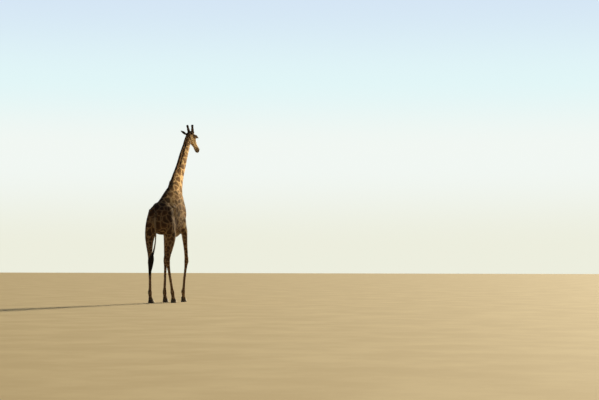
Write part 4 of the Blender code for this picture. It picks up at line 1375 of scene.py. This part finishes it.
print("hoof nodes:", len(hoof_horn.node_tree.nodes))

# %% Hoof walls
SOLE_EDGE = 0.0022


def hoof_strokes(points):
    """A swollen hair line, level growth rings and a worn edge."""
    z = points[:, 2]
    lift = ridge(z, 0.093, 0.006, 0.0016)
    lift += 0.0007 * np.sin(z * 520.0 + rolling(points, 0.09, 5) * 1.2) * rise(z, 0.008, 0.02)
    return lift + 0.0006 * rolling(points, 0.021, 8) * rise(z, 0.03, 0.01)


for leg in LEGS:
    end = leg.replace("leg_", "")
    hoof = rounded_copy("hoof_" + end, "hoof_wall_" + end, voxel=0.0034, rounds=5)
    sculpt(hoof, hoof_strokes)
    moved = points_of(hoof)
    moved[:, 2] = np.maximum(moved[:, 2], 0.0)
    moved[moved[:, 2] < SOLE_EDGE, 2] = 0.0
    set_points(hoof, moved)
    make_active(hoof)
    bpy.ops.object.shade_smooth()
    hoof.data.materials.append(hoof_horn)
    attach(hoof, "root")
    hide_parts("hoof_" + end)
    print(hoof.name, "faces:", len(hoof.data.polygons))

# %% [markdown]
# ## How hair is made
# Every hair and tuft is one closed, three-sided blade that narrows to a point.
# A blade follows a path of a few points: two for the short coat, nine for a long tail lock.
# All blades of a piece are built at once from arrays, which is fast for tens of thousands of them.
# Each blade also gets a tiny patch on a map of the skin, at the place of its root,
# so that colours baked to that map come out as the coat's own markings.

# %% A map of the skin
guide = bpy.data.objects.new("guide", skin.data.copy())
bpy.context.scene.collection.objects.link(guide)
GUIDE_FACES = 9000
apply_modifier(guide, "DECIMATE", ratio=GUIDE_FACES / len(guide.data.polygons), use_collapse_triangulate=True)
make_active(guide)
bpy.ops.object.mode_set(mode="EDIT")
bpy.ops.mesh.select_all(action="SELECT")
bpy.ops.uv.smart_project(angle_limit=math.radians(66), island_margin=0.004)
bpy.ops.object.mode_set(mode="OBJECT")
guide_points = points_of(guide)
guide_corners = np.array([face.vertices[:] for face in guide.data.polygons])
guide_flat = np.empty(len(guide.data.loops) * 2, dtype=np.float32)
guide.data.uv_layers.active.data.foreach_get("uv", guide_flat)
guide_uv = guide_flat.reshape(-1, 3, 2).astype(float)
guide_tree = BVHTree.FromPolygons(guide_points.tolist(), guide_corners.tolist())
bpy.data.objects.remove(guide)


def skin_map(roots):
    """Each root's place on the skin's map."""
    hits = [guide_tree.find_nearest(root) for root in roots.tolist()]
    faces = np.array([hit[2] for hit in hits])
    places = np.array([hit[0] for hit in hits])
    a, b, c = (guide_points[guide_corners[faces, k]] for k in range(3))
    v0, v1, v2 = b - a, c - a, places - a
    d00, d01, d11 = (v0 * v0).sum(1), (v0 * v1).sum(1), (v1 * v1).sum(1)
    d20, d21 = (v2 * v0).sum(1), (v2 * v1).sum(1)
    scale = np.maximum(d00 * d11 - d01 * d01, 1e-18)
    second, third = (d11 * d20 - d01 * d21) / scale, (d00 * d21 - d01 * d20) / scale
    weights = np.clip(np.stack([1 - second - third, second, third], axis=1), 0, 1)
    return (guide_uv[faces] * weights[:, :, None]).sum(axis=1)


print("map faces:", len(guide_corners))

# %% Blades along paths
PATCH_SIZE, TAPER = 0.003, 1.4


def blade_faces(rings):
    """The triangles of one closed blade of three-sided rings that end in a point."""
    faces = [(0, 1, 2)]
    for ring in range(rings - 1):
        for k in range(3):
            a, b = ring * 3 + k, ring * 3 + (k + 1) % 3
            faces += [(a, b + 3, b), (a, a + 3, b + 3)]
    last = (rings - 1) * 3
    return np.array(faces + [(last + k, rings * 3, last + (k + 1) % 3) for k in range(3)])


def blade_points(paths, widths, facing, flatness):
    """The corners of every ring and the tips, blade by blade."""
    rings = paths.shape[1] - 1
    ahead = np.empty_like(paths)
    ahead[:, :-1] = paths[:, 1:] - paths[:, :-1]
    ahead[:, -1] = ahead[:, -2]
    side = unit(np.cross(unit(ahead), facing[:, None, :]))
    top = unit(np.cross(side, unit(ahead)))
    share = np.arange(rings) / max(rings, 1)
    half = (widths[:, None] * (1.0 - share[None, :] ** TAPER) * 0.5)[:, :, None]
    middle = paths[:, :rings]
    corners = np.stack([middle + side[:, :rings] * half, middle + top[:, :rings] * half * flatness * 2,
                        middle - side[:, :rings] * half], axis=2)
    return np.concatenate([corners.reshape(len(paths), -1, 3), paths[:, -1:]], axis=1)


def root_map(paths, rings):
    """A tiny patch for each blade on the skin's map, at the place of its root."""
    across = np.tile([-0.5, 0.0, 0.5], rings).tolist() + [0.0]
    lengthwise = np.repeat(np.arange(rings) / rings - 0.5, 3).tolist() + [0.5]
    patch = np.stack([across, lengthwise], axis=1) * PATCH_SIZE
    return skin_map(paths[:, 0])[:, None, :] + patch[None]


def blades(name, paths, widths, facing, material, flatness):
    """One piece of closed blades: paths is blades x points x 3, facing the way each lies flat to."""
    count, rings = len(paths), paths.shape[1] - 1
    points = blade_points(paths, widths, facing, flatness)
    each = rings * 3 + 1
    corners_of_faces = (np.arange(count)[:, None, None] * each + blade_faces(rings)[None]).reshape(-1, 3)
    mesh = bpy.data.meshes.new(name)
    mesh.vertices.add(count * each)
    mesh.vertices.foreach_set("co", points.astype(np.float32).ravel())
    mesh.loops.add(corners_of_faces.size)
    mesh.loops.foreach_set("vertex_index", corners_of_faces.astype(np.int32).ravel())
    mesh.polygons.add(len(corners_of_faces))
    mesh.polygons.foreach_set("loop_start", np.arange(0, corners_of_faces.size, 3, dtype=np.int32))
    mesh.update(calc_edges=True)
    places = root_map(paths, rings).reshape(-1, 2)[corners_of_faces.ravel()]
    layer = mesh.uv_layers.new(name="OFBake")
    layer.data.foreach_set("uv", places.astype(np.float32).ravel())
    piece = bpy.data.objects.new(name, mesh)
    bpy.context.scene.collection.objects.link(piece)
    mesh.materials.append(material)
    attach(piece, "root")
    print(name, "blades:", count, "triangles:", len(corners_of_faces))
    return piece


def straight(roots, lie, long, steps):
    """Paths that run straight from their roots, with a point at each step of their length."""
    return roots[:, None] + lie[:, None] * (steps[None] * long[:, None])[:, :, None]


def laid_flat(way, facing, share=1.0):
    """A way with a share of what points off the skin taken out."""
    return way - facing * (way * facing).sum(axis=1)[:, None] * share


HAIR_SHARE = 1.0
print("share of the hairs made:", HAIR_SHARE)

# %% [markdown]
# ## Roots and the lie of the coat
# Roots are drawn by chance over the skin's faces, more of them where a density is high,
# and always in the same order, because the random numbers start from a fixed seed.
# The way the coat lies is a field of directions laid flat on the skin: off the nose, back and down.

# %% Roots scattered on the skin
skin_points, skin_normals = points_of(skin), normals_of(skin)
skin_faces = np.empty(len(skin.data.polygons) * 3, dtype=np.int32)
skin.data.polygons.foreach_get("vertices", skin_faces)
skin_faces = skin_faces.reshape(-1, 3)
skin_tree = BVHTree.FromPolygons(skin_points.tolist(), skin_faces.tolist())
face_corners = skin_points[skin_faces]
face_middles = face_corners.mean(axis=1)
face_areas = np.linalg.norm(np.cross(face_corners[:, 1] - face_corners[:, 0],
                                     face_corners[:, 2] - face_corners[:, 0]), axis=1) / 2


def scatter(count, density):
    """Roots on the skin and the way the skin faces there, as dense as asked at each face."""
    odds = face_areas * density
    chosen = rng.choice(len(skin_faces), size=count, p=odds / odds.sum())
    first, second = rng.random(count), rng.random(count)
    flip = first + second > 1
    first[flip], second[flip] = 1 - first[flip], 1 - second[flip]
    weights = np.stack([1 - first - second, first, second], axis=1)[:, :, None]
    return ((face_corners[chosen] * weights).sum(axis=1),
            unit((skin_normals[skin_faces[chosen]] * weights).sum(axis=1)))


BODY_FLOW, NECK_FLOW, LEG_FLOW = np.array(((0.0, 0.80, -0.60), (0.0, 0.45, -0.89), (0.0, 0.12, -1.0)))
HEAD_FLOW = np.array(HEAD_BACK) * 0.95 - np.array(HEAD_UP) * 0.3
FLOW_CHANCE = 0.13


def hair_lie(points, normals):
    """The way the coat lies: off the nose, down the neck, back along the body and down the legs."""
    head = np.maximum(head_share(points), near_ears(points))[:, None]
    legs = rise(points[:, 2], 2.05, 1.70)[:, None]
    neck = rise(points[:, 2] - 0.6 * points[:, 1], 3.0, 3.4)[:, None] * (1 - legs)
    flow = BODY_FLOW * (1 - neck) + NECK_FLOW * neck
    flow = flow * (1 - legs) + LEG_FLOW * legs
    flow = flow * (1 - head) + HEAD_FLOW * head
    flow = flow + rng.normal(size=points.shape) * FLOW_CHANCE
    return unit(laid_flat(flow, normals))


print("skin area:", round(float(face_areas.sum()), 2), "square metres")

# %% [markdown]
# ## Short coat
# The coat lies flat, a centimetre or two long on the body and only a few millimetres on the face and feet.
# Tufts start just under the skin and rise a little towards their tips, so they overlap like thatch
# and break the outline on every side. The bump in the hide's own paint fills in between them.

# %% Coat tufts
ROOT_DEPTH = 0.0008


def short_coat(name, count, density, length, width, lift, shrink):
    """Tufts of two path points each: the root, sunk a little, and the tip. They shrink towards the head."""
    roots, facing = scatter(count, density)
    lie = hair_lie(roots, facing)
    fine = 1.0 - shrink * rise(np.linalg.norm(head_points(roots), axis=1), 1.20, 0.40)
    length, width, lift = length * fine, width * fine, lift * fine
    long = (length * rng.uniform(0.7, 1.3, count))[:, None]
    start = roots - facing * ROOT_DEPTH
    tips = roots + lie * long + facing * (lift * rng.uniform(0.5, 1.2, count))[:, None]
    wide = width * rng.uniform(0.75, 1.3, count)
    blades(name, np.stack([start, tips], axis=1), wide, facing, coat_paint, flatness=0.35)


print("tuft tool ready")

# %% Coat pieces
THIN = 1.0
on_head = np.maximum(head_share(face_middles), near_ears(face_middles))
on_legs = rise(face_middles[:, 2], 1.86, 1.70)
on_neck = rise(face_middles[:, 2] - 0.6 * face_middles[:, 1], 3.0, 3.2) * (1 - on_head) * (1 - on_legs)
on_trunk = (1 - on_head) * (1 - on_legs) * (1 - on_neck)
off_eyes = rise(eye_gap(head_points(face_middles)), 0.033, 0.042)
over_hooves = rise(face_middles[:, 2], 0.096, 0.100) * rise(face_middles[:, 2], 0.128, 0.116)
fore = face_middles[:, 1] < 0.55
COATS = (  # name, tufts, density, length, width, lift, how much they shrink towards the head
    ("coat_trunk_fore", 48000, on_trunk * fore, 0.021, 0.0046, 0.0030, 0.55),
    ("coat_trunk_hind", 48000, on_trunk * ~fore, 0.021, 0.0046, 0.0030, 0.55),
    ("coat_neck", 34000, on_neck, 0.017, 0.0038, 0.0028, 0.55),
    ("coat_legs", 48000, on_legs, 0.012, 0.0028, 0.0018, 0.55),
    ("coat_head", 40000, on_head * off_eyes, 0.0078, 0.0016, 0.0006, 0.0),
    ("coat_hoof_fringe", 3600, over_hooves, 0.022, 0.0022, 0.0042, 0.0),
)
for name, tufts, *shape in COATS:
    short_coat(name, int(tufts * THIN), *shape)
print("coat pieces:", len(COATS))

# %% [markdown]
# ## Paint for long hair
# Long hair is dark and streaked. Each kind gets two colours and a darker one for its tips.

# %% Hair paints
def hair_material(name, dark, light, tip_dark, roughness=0.5):
    """Hair in streaks of two colours, each lock a little different."""
    material, shader, place = new_material(name, roughness, 0.35)
    streak = place.moved("MULTIPLY", (150.0, 90.0, 30.0)).noise(1.0, 3.0, 0.6)
    fine = place.moved("MULTIPLY", (900.0, 700.0, 90.0)).noise(1.0, 2.0, 0.5)
    colour = colour_of(place, dark).toward(light, streak.rise(0.38, 0.68))
    colour = colour.toward(tip_dark, fine.rise(0.45, 0.75) * 0.6)
    put(shader, "Base Color", colour)
    put(shader, "Roughness", roughness + fine * 0.25)
    return material


mane_hair = hair_material("mane_hair", (0.105, 0.050, 0.026), (0.235, 0.125, 0.066), (0.050, 0.026, 0.016))
tail_hair = hair_material("dark_hair", (0.010, 0.008, 0.007), (0.026, 0.019, 0.015), (0.006, 0.005, 0.005),
                          0.42)
ear_hair = hair_material("ear_hair", (0.52, 0.41, 0.29), (0.66, 0.55, 0.41), (0.34, 0.23, 0.14))
horn_hair = hair_material("horn_hair", (0.060, 0.038, 0.026), (0.16, 0.092, 0.052), (0.020, 0.014, 0.012))
print("hair paints: mane, tail, ear, horn")

# %% [markdown]
# ## Mane
# The mane is a stiff brush that stands up along the crest, from behind the horns to the withers.
# Its hairs grow in a narrow strip, lean back a little, and part a little to each side.
# Roots are found by looking straight down on the crest from outside, at many places along the neck.

# %% Crest line
NECK_AXIS = np.array(((-0.0107, -0.009, 3.28), (-0.0107, -0.191, 3.60), (-0.0107, -0.401, 3.90),
                      (-0.0107, -0.579, 4.20), (-0.0107, -0.769, 4.48), (-0.0107, -0.909, 4.70),
                      (-0.0107, -1.010, 4.86), (-0.0107, -1.075, 4.98)))
MANE_HEIGHT = ((0.0, 0.012), (0.06, 0.042), (0.25, 0.066), (0.55, 0.076), (0.85, 0.068),
               (0.96, 0.045), (1.0, 0.022))
MANE_HALF_STRIP = 0.015
MANE_BLADES = int(9500 * HAIR_SHARE)


def along_axis(line, share):
    """A place on a bent line by its share of the length, and the way the line runs there."""
    gaps = np.linalg.norm(np.diff(line, axis=0), axis=1)
    marks = np.concatenate([[0], np.cumsum(gaps)]) / gaps.sum()
    place = np.stack([np.interp(share, marks, line[:, k]) for k in range(3)], axis=-1)
    ahead = np.stack([np.interp(np.minimum(share + 0.03, 1), marks, line[:, k])
                      - np.interp(np.maximum(share - 0.03, 0), marks, line[:, k]) for k in range(3)], axis=-1)
    return place, unit(ahead)


def crest_roots(count):
    """Roots in the strip along the crest: place, way the crest faces, share along it, offset across."""
    share, across = rng.random(count), np.clip(rng.normal(size=count) * 0.45, -1, 1)
    across *= 1.0 - 0.75 * rise(share, 0.90, 1.0)
    place, ahead = along_axis(NECK_AXIS, share)
    outwards = unit(np.cross(np.array((1.0, 0.0, 0.0)), ahead))
    outwards = outwards * np.sign(outwards[:, 1:2])
    begin = place + outwards * 0.6 + np.array((1.0, 0, 0)) * (across * MANE_HALF_STRIP)[:, None]
    roots = np.array([skin_tree.ray_cast(Vector(b), Vector(-o))[0] or Vector(b - o * 0.5)
                      for b, o in zip(begin, outwards)])
    return roots, outwards, ahead, share, across


print("mane blades to come:", MANE_BLADES)

# %% Mane
roots, outwards, ahead, share, across = crest_roots(MANE_BLADES)
tall = np.interp(share, *zip(*MANE_HEIGHT)) * rng.uniform(0.72, 1.0, MANE_BLADES) * (1 - 0.25 * across ** 2)
lean = unit(outwards + ahead * rng.normal(-0.16, 0.10, MANE_BLADES)[:, None]
            + np.array((1.0, 0, 0)) * (across * 0.10 + rng.normal(0, 0.05, MANE_BLADES))[:, None])
steps = np.array((-0.15, 0.5, 1.0))
curl = -ahead * rng.uniform(0.02, 0.22, MANE_BLADES)[:, None] * tall[:, None]
paths = straight(roots, lean, tall, steps) + curl[:, None] * (steps ** 2)[None, :, None]
wide, across_neck = rng.uniform(0.0022, 0.0040, MANE_BLADES), np.array((1.0, 0, 0)) + ahead * 0.2
mane = blades("mane_hair", paths, wide, across_neck, mane_hair, flatness=0.4)
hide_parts("mane")
print("mane finished")

# %% [markdown]
# ## Tail
# Below the hocks the tail ends in a heavy tassel of black, slightly wavy hair.
# Locks start all round the last stretch of the tail, swell outwards, and hang past each other to a point.

# %% Tail tassel
TASSEL_LINE = np.array(((0.044, 1.501, 1.42), (0.055, 1.503, 1.31), (0.071, 1.503, 1.21),
                        (0.094, 1.501, 1.05), (0.119, 1.497, 0.88), (0.137, 1.493, 0.745)))
TASSEL_SWELL = ((0.0, 0.020), (0.12, 0.046), (0.30, 0.069), (0.52, 0.064), (0.78, 0.042), (1.0, 0.016))
LOCKS = int(3600 * HAIR_SHARE)
LOCK_POINTS = 9


def tassel_paths(count):
    """Wavy locks that follow the tassel's line at their own distance from its middle."""
    begin = rng.uniform(0.0, 0.30, count) ** 1.3
    end = np.clip(rng.normal(0.82, 0.11, count), begin + 0.25, 1.0)
    turn, far = rng.uniform(0, 2 * math.pi, count), np.sqrt(rng.random(count))
    phase, waves = rng.uniform(0, 2 * math.pi, count), rng.uniform(1.0, 2.4, count)
    rows = []
    for step in np.linspace(0.0, 1.0, LOCK_POINTS):
        share = begin + (end - begin) * step
        place, ahead = along_axis(TASSEL_LINE, share)
        opened = 0.35 + 0.65 * min(1.0, step * 3.5)
        reach = np.interp(share, *zip(*TASSEL_SWELL)) * (0.12 + 0.88 * far) * opened
        angle = turn + 0.22 * np.sin(phase + waves * step * 4.0)
        wave = 0.0035 * np.sin(phase * 2 + waves * step * 7.0) * step
        offset = [np.cos(angle) * reach + wave, np.sin(angle) * reach * 0.9, wave * 0.5]
        rows.append(place + np.stack(offset, axis=1))
    return np.stack(rows, axis=1), np.stack([np.cos(turn), np.sin(turn), np.zeros(count)], axis=1)


paths, outwards = tassel_paths(LOCKS)
wide = rng.uniform(0.0032, 0.0062, LOCKS)
tassel = blades("tail_tassel_hair", paths, wide, outwards, tail_hair, flatness=0.45)
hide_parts("tail_tassel")
print("tassel finished")

# %% [markdown]
# ## Hairs along the tail
# Above the tassel the tail's own hairs grow longer downwards, and turn dark over a short stretch,
# so that nobody can say where the tassel starts.

# %% Hairs along the tail
TAIL_HAIRS = int(2600 * HAIR_SHARE)
on_tail = rise(face_middles[:, 1], 1.41, 1.44) * rise(face_middles[:, 2], 2.30, 2.15)
lower = rise(face_middles[:, 2], 2.0, 1.45)
roots, facing = scatter(TAIL_HAIRS, on_tail * (0.25 + lower))
long = (0.030 + 0.075 * rise(roots[:, 2], 1.85, 1.42)) * rng.uniform(0.7, 1.2, TAIL_HAIRS)
steps = np.linspace(0.0, 1.0, 4)
out = facing * 0.16 + rng.normal(size=roots.shape) * 0.05
paths = (roots[:, None] + (np.array((0.03, 0.0, -1.0)) * long[:, None])[:, None] * steps[None, :, None]
         + (out * long[:, None])[:, None] * (steps * (1.25 - steps))[None, :, None])
low = roots[:, 2] < 1.53 + rng.normal(size=TAIL_HAIRS) * 0.04
wide = rng.uniform(0.002, 0.0035, int(low.sum()))
blades("tail_hair_dark", paths[low], wide, facing[low], tail_hair, flatness=0.4)
wide = rng.uniform(0.002, 0.0032, int((~low).sum()))
blades("tail_hair_pale", paths[~low], wide, facing[~low], coat_paint, flatness=0.4)
print("tail finished")

# %% [markdown]
# ## Lashes
# Long curved lashes shade each eye. They are rooted along the lids' edges, point the way the eye looks,
# spread towards the slit's ends and droop under their own weight.

# %% Lashes
LASH_POINTS, UPPER_LASHES, LOWER_LASHES = 6, 110, 60


def lash_paths(count, sign, upper):
    """Curved lashes rooted along one lid."""
    along = np.linspace(-0.80, 0.80, count) * SLIT_HALF_LENGTH + rng.normal(0, 0.015, count)
    opening = UPPER_OPENING if upper else -LOWER_OPENING
    above = opening * (1 - (along / SLIT_HALF_LENGTH) ** 2) * 1.08
    gaze, slit, upwards = eye_ways(sign)
    facing = np.sqrt(np.clip(1 - along ** 2 - above ** 2, 0.05, 1))
    way = gaze * facing[:, None] + slit * along[:, None] + upwards * above[:, None]
    roots = EYE_LOCAL * (sign, 1, 1) + way * (EYE_RADIUS + LID_THICKNESS * 0.6)
    long = (0.027 if upper else 0.011) * rng.uniform(0.75, 1.1, count)
    rise_way = upwards * (0.10 if upper else -0.35)
    steps = np.linspace(0, 1, LASH_POINTS)
    first = unit(gaze * 0.95 + rise_way + slit * (along * 0.55)[:, None] + rng.normal(0, 0.06, (count, 3)))
    droop = upwards * (-0.30 if upper else -0.15)
    paths = (roots[:, None] + (first * long[:, None])[:, None] * steps[None, :, None]
             + (droop[None] * long[:, None])[:, None] * (steps * (1 - steps) * 1.6)[None, :, None])
    upwards = np.tile(np.array(HEAD_TURN) @ upwards, (count, 1))
    return in_world(paths.reshape(-1, 3)).reshape(paths.shape), upwards


lash_sets = [lash_paths(count, sign, upper) for _, sign in SIDES
             for count, upper in ((UPPER_LASHES, True), (LOWER_LASHES, False))]
lashes = np.concatenate([paths for paths, _ in lash_sets])
lash_facing = np.concatenate([facing for _, facing in lash_sets])
wide = rng.uniform(0.0009, 0.0014, len(lashes))
blades("eyelashes", lashes, wide, lash_facing, tail_hair, flatness=0.5)
print("lashes on each eye:", UPPER_LASHES + LOWER_LASHES)

# %% [markdown]
# ## Ear hair
# The ears carry a pale fringe, longest along their edges, among short hair of the coat's own colour.
# All of it lies towards the ear's tip.

# %% Ear fringe
EAR_HAIRS = int(6400 * HAIR_SHARE)
EAR_HALF_WIDTH = ((0.0, 0.020), (0.15, 0.024), (0.35, 0.042), (0.55, 0.052), (0.75, 0.045),
                  (0.92, 0.020), (1.0, 0.006))
off_skull = rise(np.abs(head_points(face_middles)[:, 0]), 0.110, 0.122)
roots, facing = scatter(EAR_HAIRS, near_ears(face_middles, 0.16) * off_skull * (off_eyes > 0.99))
towards_tip, rim = np.zeros_like(roots), np.zeros(EAR_HAIRS)
for side, (root, tip) in EAR_LINES.items():
    share, distance, out = ear_place(roots, side)
    mine = distance < EAR_REACH + 0.012
    towards_tip[mine] = unit(np.array(tip) - root) + unit(out[mine]) * 0.30
    half = np.interp(share, *zip(*EAR_HALF_WIDTH))
    rim[mine] = rise(distance[mine] / half[mine], 0.72, 0.95)
long = (0.0085 + 0.0095 * rim) * rng.uniform(0.7, 1.2, EAR_HAIRS)
lie = unit(laid_flat(towards_tip, facing, 0.92) + rng.normal(0, 0.07, roots.shape))
steps = np.array((-0.06, 0.5, 1.0))
paths = straight(roots, lie, long, steps) + (facing * 0.0014)[:, None] * steps[None, :, None]
pale = rng.random(EAR_HAIRS) < 0.25 + 0.55 * rim
wide = rng.uniform(0.0010, 0.0017, int(pale.sum()))
blades("ear_fringe", paths[pale], wide, facing[pale], ear_hair, flatness=0.35)
wide = rng.uniform(0.0014, 0.0024, int((~pale).sum()))
blades("ear_coat", paths[~pale], wide, facing[~pale], coat_paint, flatness=0.35)
print("ears finished")

# %% [markdown]
# ## Horn hair
# Hair covers the horns up to their bare knobs, and is darkest just below them.
# More hair grows up from the skull round each horn's base and hides where horn and head meet.

# %% Horn hair
HORN_HAIRS = int(2400 * HAIR_SHARE)
HORN_STEPS = np.array((-0.08, 0.55, 1.0))
horn_sets = []
for (_, sign), horn in zip(SIDES, horns):
    horn_points, horn_normals = points_of(horn), normals_of(horn)
    share, _ = along_horn(one_side(head_points(horn_points)))
    chance = rise(share, 0.22, 0.34) * rise(share, 0.92, 0.80) + 1e-9
    picked = rng.choice(len(horn_points), size=HORN_HAIRS // 2, p=chance / chance.sum())
    roots, facing = horn_points[picked], horn_normals[picked]
    upwards = np.array(HEAD_TURN) @ (unit(HORN_AXIS) * (sign, 1, 1))
    lie = unit(upwards + facing * 0.16 + rng.normal(0, 0.12, roots.shape))
    long = (0.009 + 0.010 * rise(share[picked], 0.45, 0.80)) * rng.uniform(0.7, 1.2, len(roots))
    dark = share[picked] + rng.normal(0, 0.06, len(roots)) > 0.52
    horn_sets.append((straight(roots, lie, long, HORN_STEPS), facing, dark))
print("hairs on the horns:", sum(len(part[0]) for part in horn_sets))

# %% Hair over the horns' seats
SEAT_HAIRS = int(3000 * HAIR_SHARE)
share, out = along_horn(one_side(head_points(face_middles)))
around = rise(np.linalg.norm(out, axis=1), 0.085, 0.060) * rise(share, -0.05, 0.20)
roots, facing = scatter(SEAT_HAIRS, around + 1e-12)
upwards = np.tile(unit(HORN_AXIS), (SEAT_HAIRS, 1))
upwards[head_points(roots)[:, 0] < 0, 0] *= -1.0
upwards = upwards @ np.array(HEAD_TURN).T
lie = unit(laid_flat(upwards, facing, 0.85) + rng.normal(0, 0.12, roots.shape))
long = rng.uniform(0.007, 0.013, SEAT_HAIRS)
horn_sets.append((straight(roots, lie, long, HORN_STEPS), facing, np.zeros(SEAT_HAIRS, dtype=bool)))
paths, facing, dark = (np.concatenate([part[k] for part in horn_sets]) for k in range(3))
wide = rng.uniform(0.0010, 0.0018, len(paths))
blades("horn_hair", paths[dark], wide[dark], facing[dark], horn_hair, flatness=0.4)
blades("horn_coat", paths[~dark], wide[~dark], facing[~dark], coat_paint, flatness=0.4)
print("horn hair finished")

# %% [markdown]
# ## Whiskers
# Stiff single hairs feel about the lips and the chin.

# %% Whiskers
WHISKERS, WHISKER_WIDTH = 220, 0.0007
local = head_points(face_middles)
by_lips = np.maximum(*(near_line(local, lips, 0.026, pace=0.02) for lips in (MOUTH, mirrored(MOUTH))))
chin = near_spot(local, (0.0, -0.62, -0.145), (0.06, 0.08, 0.04))
roots, facing = scatter(WHISKERS, (by_lips + chin) * (local[:, 1] < -0.52))
long = rng.uniform(0.012, 0.030, WHISKERS)
steps = np.linspace(0, 1, 4)
droop = np.array((0, 0, -0.25))
out = unit(facing + rng.normal(0, 0.15, roots.shape) + droop)
paths = straight(roots, out, long, steps) + droop * (long[:, None] * steps[None] ** 2)[:, :, None]
blades("whiskers", paths, np.full(WHISKERS, WHISKER_WIDTH), facing, tail_hair, flatness=0.5)
print("head hair finished")

# %% [markdown]
# ## Size
# The dressed animal must stay inside the solids' own box, give or take a little hair.

# %% Finish
low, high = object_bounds()
print("grown by", [round(float(c - v) * 1000) for c, v in zip(CAD_BOX[0], low)],
      [round(float(v - c) * 1000) for c, v in zip(CAD_BOX[1], high)], "mm")
